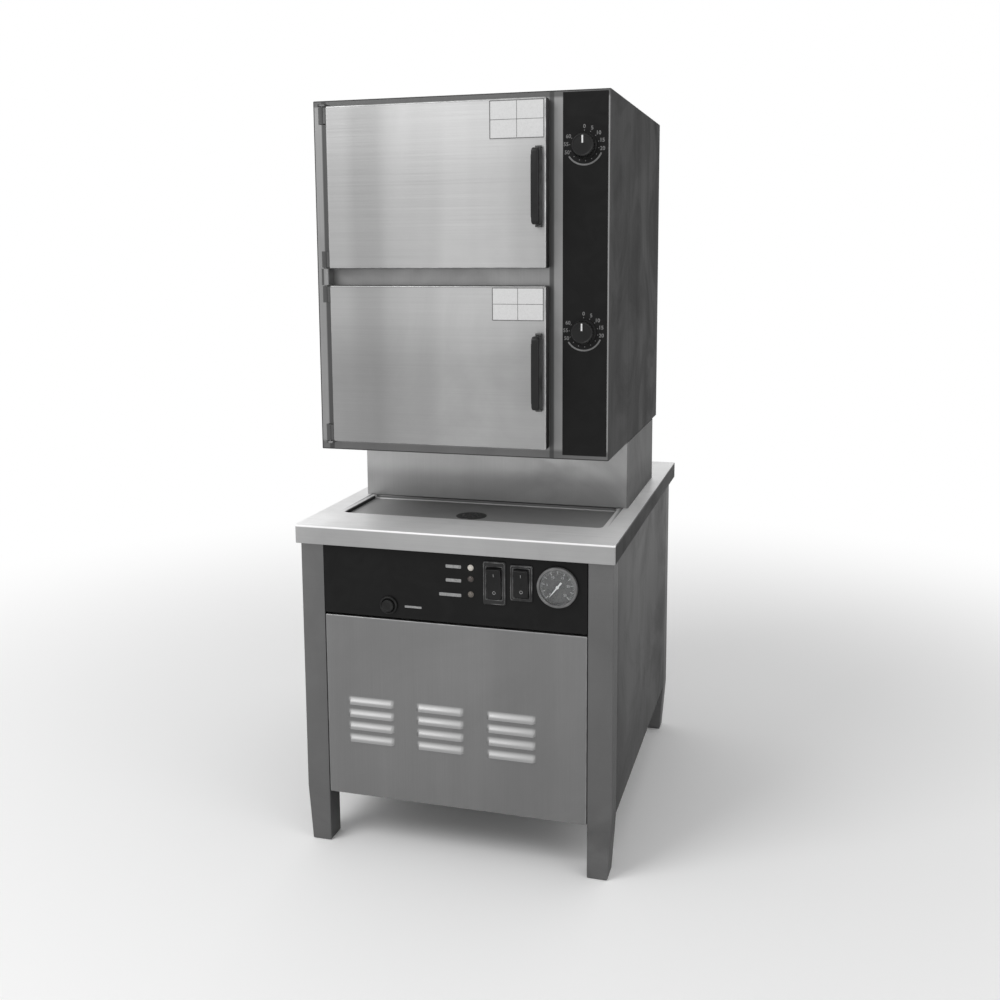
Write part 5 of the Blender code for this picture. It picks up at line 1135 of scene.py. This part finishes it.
# Two timer knobs: fluted black knobs over a skirt, with a white pointer filled into the top.
knob_black = moulded("knob_black", 0.008, 0.34, speckle=0.15, scale=700.0, gloss=0.2)
pointer_white = print_ink("pointer_white", 0.75, worn=0.2)
ring_ink = print_ink("ring_ink", 0.17, worn=0.25)
knobs_x, knobs_y, ring_y, figures_out = 0.2316, -0.3318, -0.33195, 0.0325


def knob_mesh(name, centre):
    """A knob: (radius, lift, flute depth) rings about its shaft, where the radius falls by
    depth * (0.5 + 0.5 cos 24 a)^2 at the angle a."""
    spots, turn = eased([
        (0.0225, 0.0003, 0), (0.0225, 0.0026, 0), (0.0214, 0.0034, 0), (0.0208, 0.0050, 0.0011),
        (0.0200, 0.0160, 0.0011), (0.0186, 0.0178, 0.0002), (0.0170, 0.0178, 0),
        (0.0160, 0.0172, 0), (0.0, 0.0172, 0)
    ], 0.0005, steps=3)
    angle = np.linspace(0, 2 * pi, 192, endpoint=False)
    wave = (0.5 + 0.5 * np.cos(24 * angle)) ** 2
    radius = np.maximum(spots[:, [0]] - spots[:, [2]] * wave, 0.00002)
    points = np.array(centre) + set_out(
        "-Y", radius * np.cos(angle), radius * np.sin(angle), spots[:, [1]]
    )
    return skin(name, points, fold=turn * (spots[:, 2] > 0))


for level, z in (("upper", 1.319), ("lower", 0.996)):
    knob_at = (knobs_x, knobs_y, z)
    knob = knob_mesh(level + "_knob", knob_at)
    shown(level + "_timer_knob_cap", knob, knob_black, level + "_knob", level + "_timer_knob")
    pointer = ringed_skin(
        "pointer", (knobs_x, knobs_y - 0.0170, z + 0.0098), "-Y",
        [(0.0014, 0.0066, 0.0006, 0, 0, 0), (0.0014, 0.0066, 0.0006, 0.0005, 0, 0),
         (0.0011, 0.0063, 0.0004, 0.0008, 0, 0)], [0, 0, 1], arc_steps=3
    )
    shown(level + "_knob_pointer", pointer, pointer_white, level + "_knob")

    # Its printed ring on the strip: five-minute ticks, figures above and a solid arc below.
    marks = [(5 * minutes, 1.4, 0.0250, 0.0268) for minutes in range(0, 61, 5)]
    ticks = dial_print("ticks", knob_at, ring_y, marks)
    arc = dial_print("arc", knob_at, ring_y, [(175, 62, 0.0310, 0.0338)], steps=40)
    shown(level + "_timer_ring", joined("ring", [ticks, arc]), ring_ink, "cabinet")
    figures = round_dial(knob_at, figures_out, [
        (str(minutes), 5 * minutes) for minutes in (0, 5, 10, 15, 20, 50, 55, 60)
    ])
    letters = lettered("figures", figures, 0.0092, ring_y, boldness=0.0002)
    shown(level + "_timer_figures", letters, ring_ink, "cabinet")

# Door plates: where the doors carried printed labels there are bare pale plates with a border.
plate_white = print_ink("plate_white", 0.62, worn=0.10)


def printed_frame(middle_x, middle_z, half_w, half_h, width, y):
    """A flat printed ring: quads between two rounded rectangles on a front-facing plane."""
    rings = [
        (half_w, half_h, 0.0015, 0, 0, 0), (half_w - width, half_h - width, 0.0003, 0, 0, 0)
    ]
    return ringed_skin(
        "printed_frame", (middle_x, y, middle_z), "-Y", rings, [0, 0], caps=(False, False)
    )


plate_y, lines_y, border, half_line = -0.3580, -0.35808, 0.002, 0.0005
for level, low_x, high_x, low_z, high_z in (
    ("upper", 0.068, 0.1670, 1.332, 1.3985), ("lower", 0.0706, 0.166, 1.016, 1.0755)
):
    plate = printed_bar(low_x, high_x, low_z, high_z, plate_y)
    shown(level + "_door_plate", plate, plate_white, level + "_door")
    x, z = (low_x + high_x) / 2, (low_z + high_z) / 2
    lines = joined("plate_lines", [
        printed_frame(x, z, (high_x - low_x) / 2 - 0.0002, (high_z - low_z) / 2 - 0.0002, 0.0018,
                      lines_y),
        printed_bar(x - half_line, x + half_line, low_z + border, high_z - border, lines_y),
        printed_bar(low_x + border, high_x - border, z - half_line, z + half_line, lines_y)
    ])
    shown(level + "_door_plate_lines", lines, dim_ink, level + "_door")
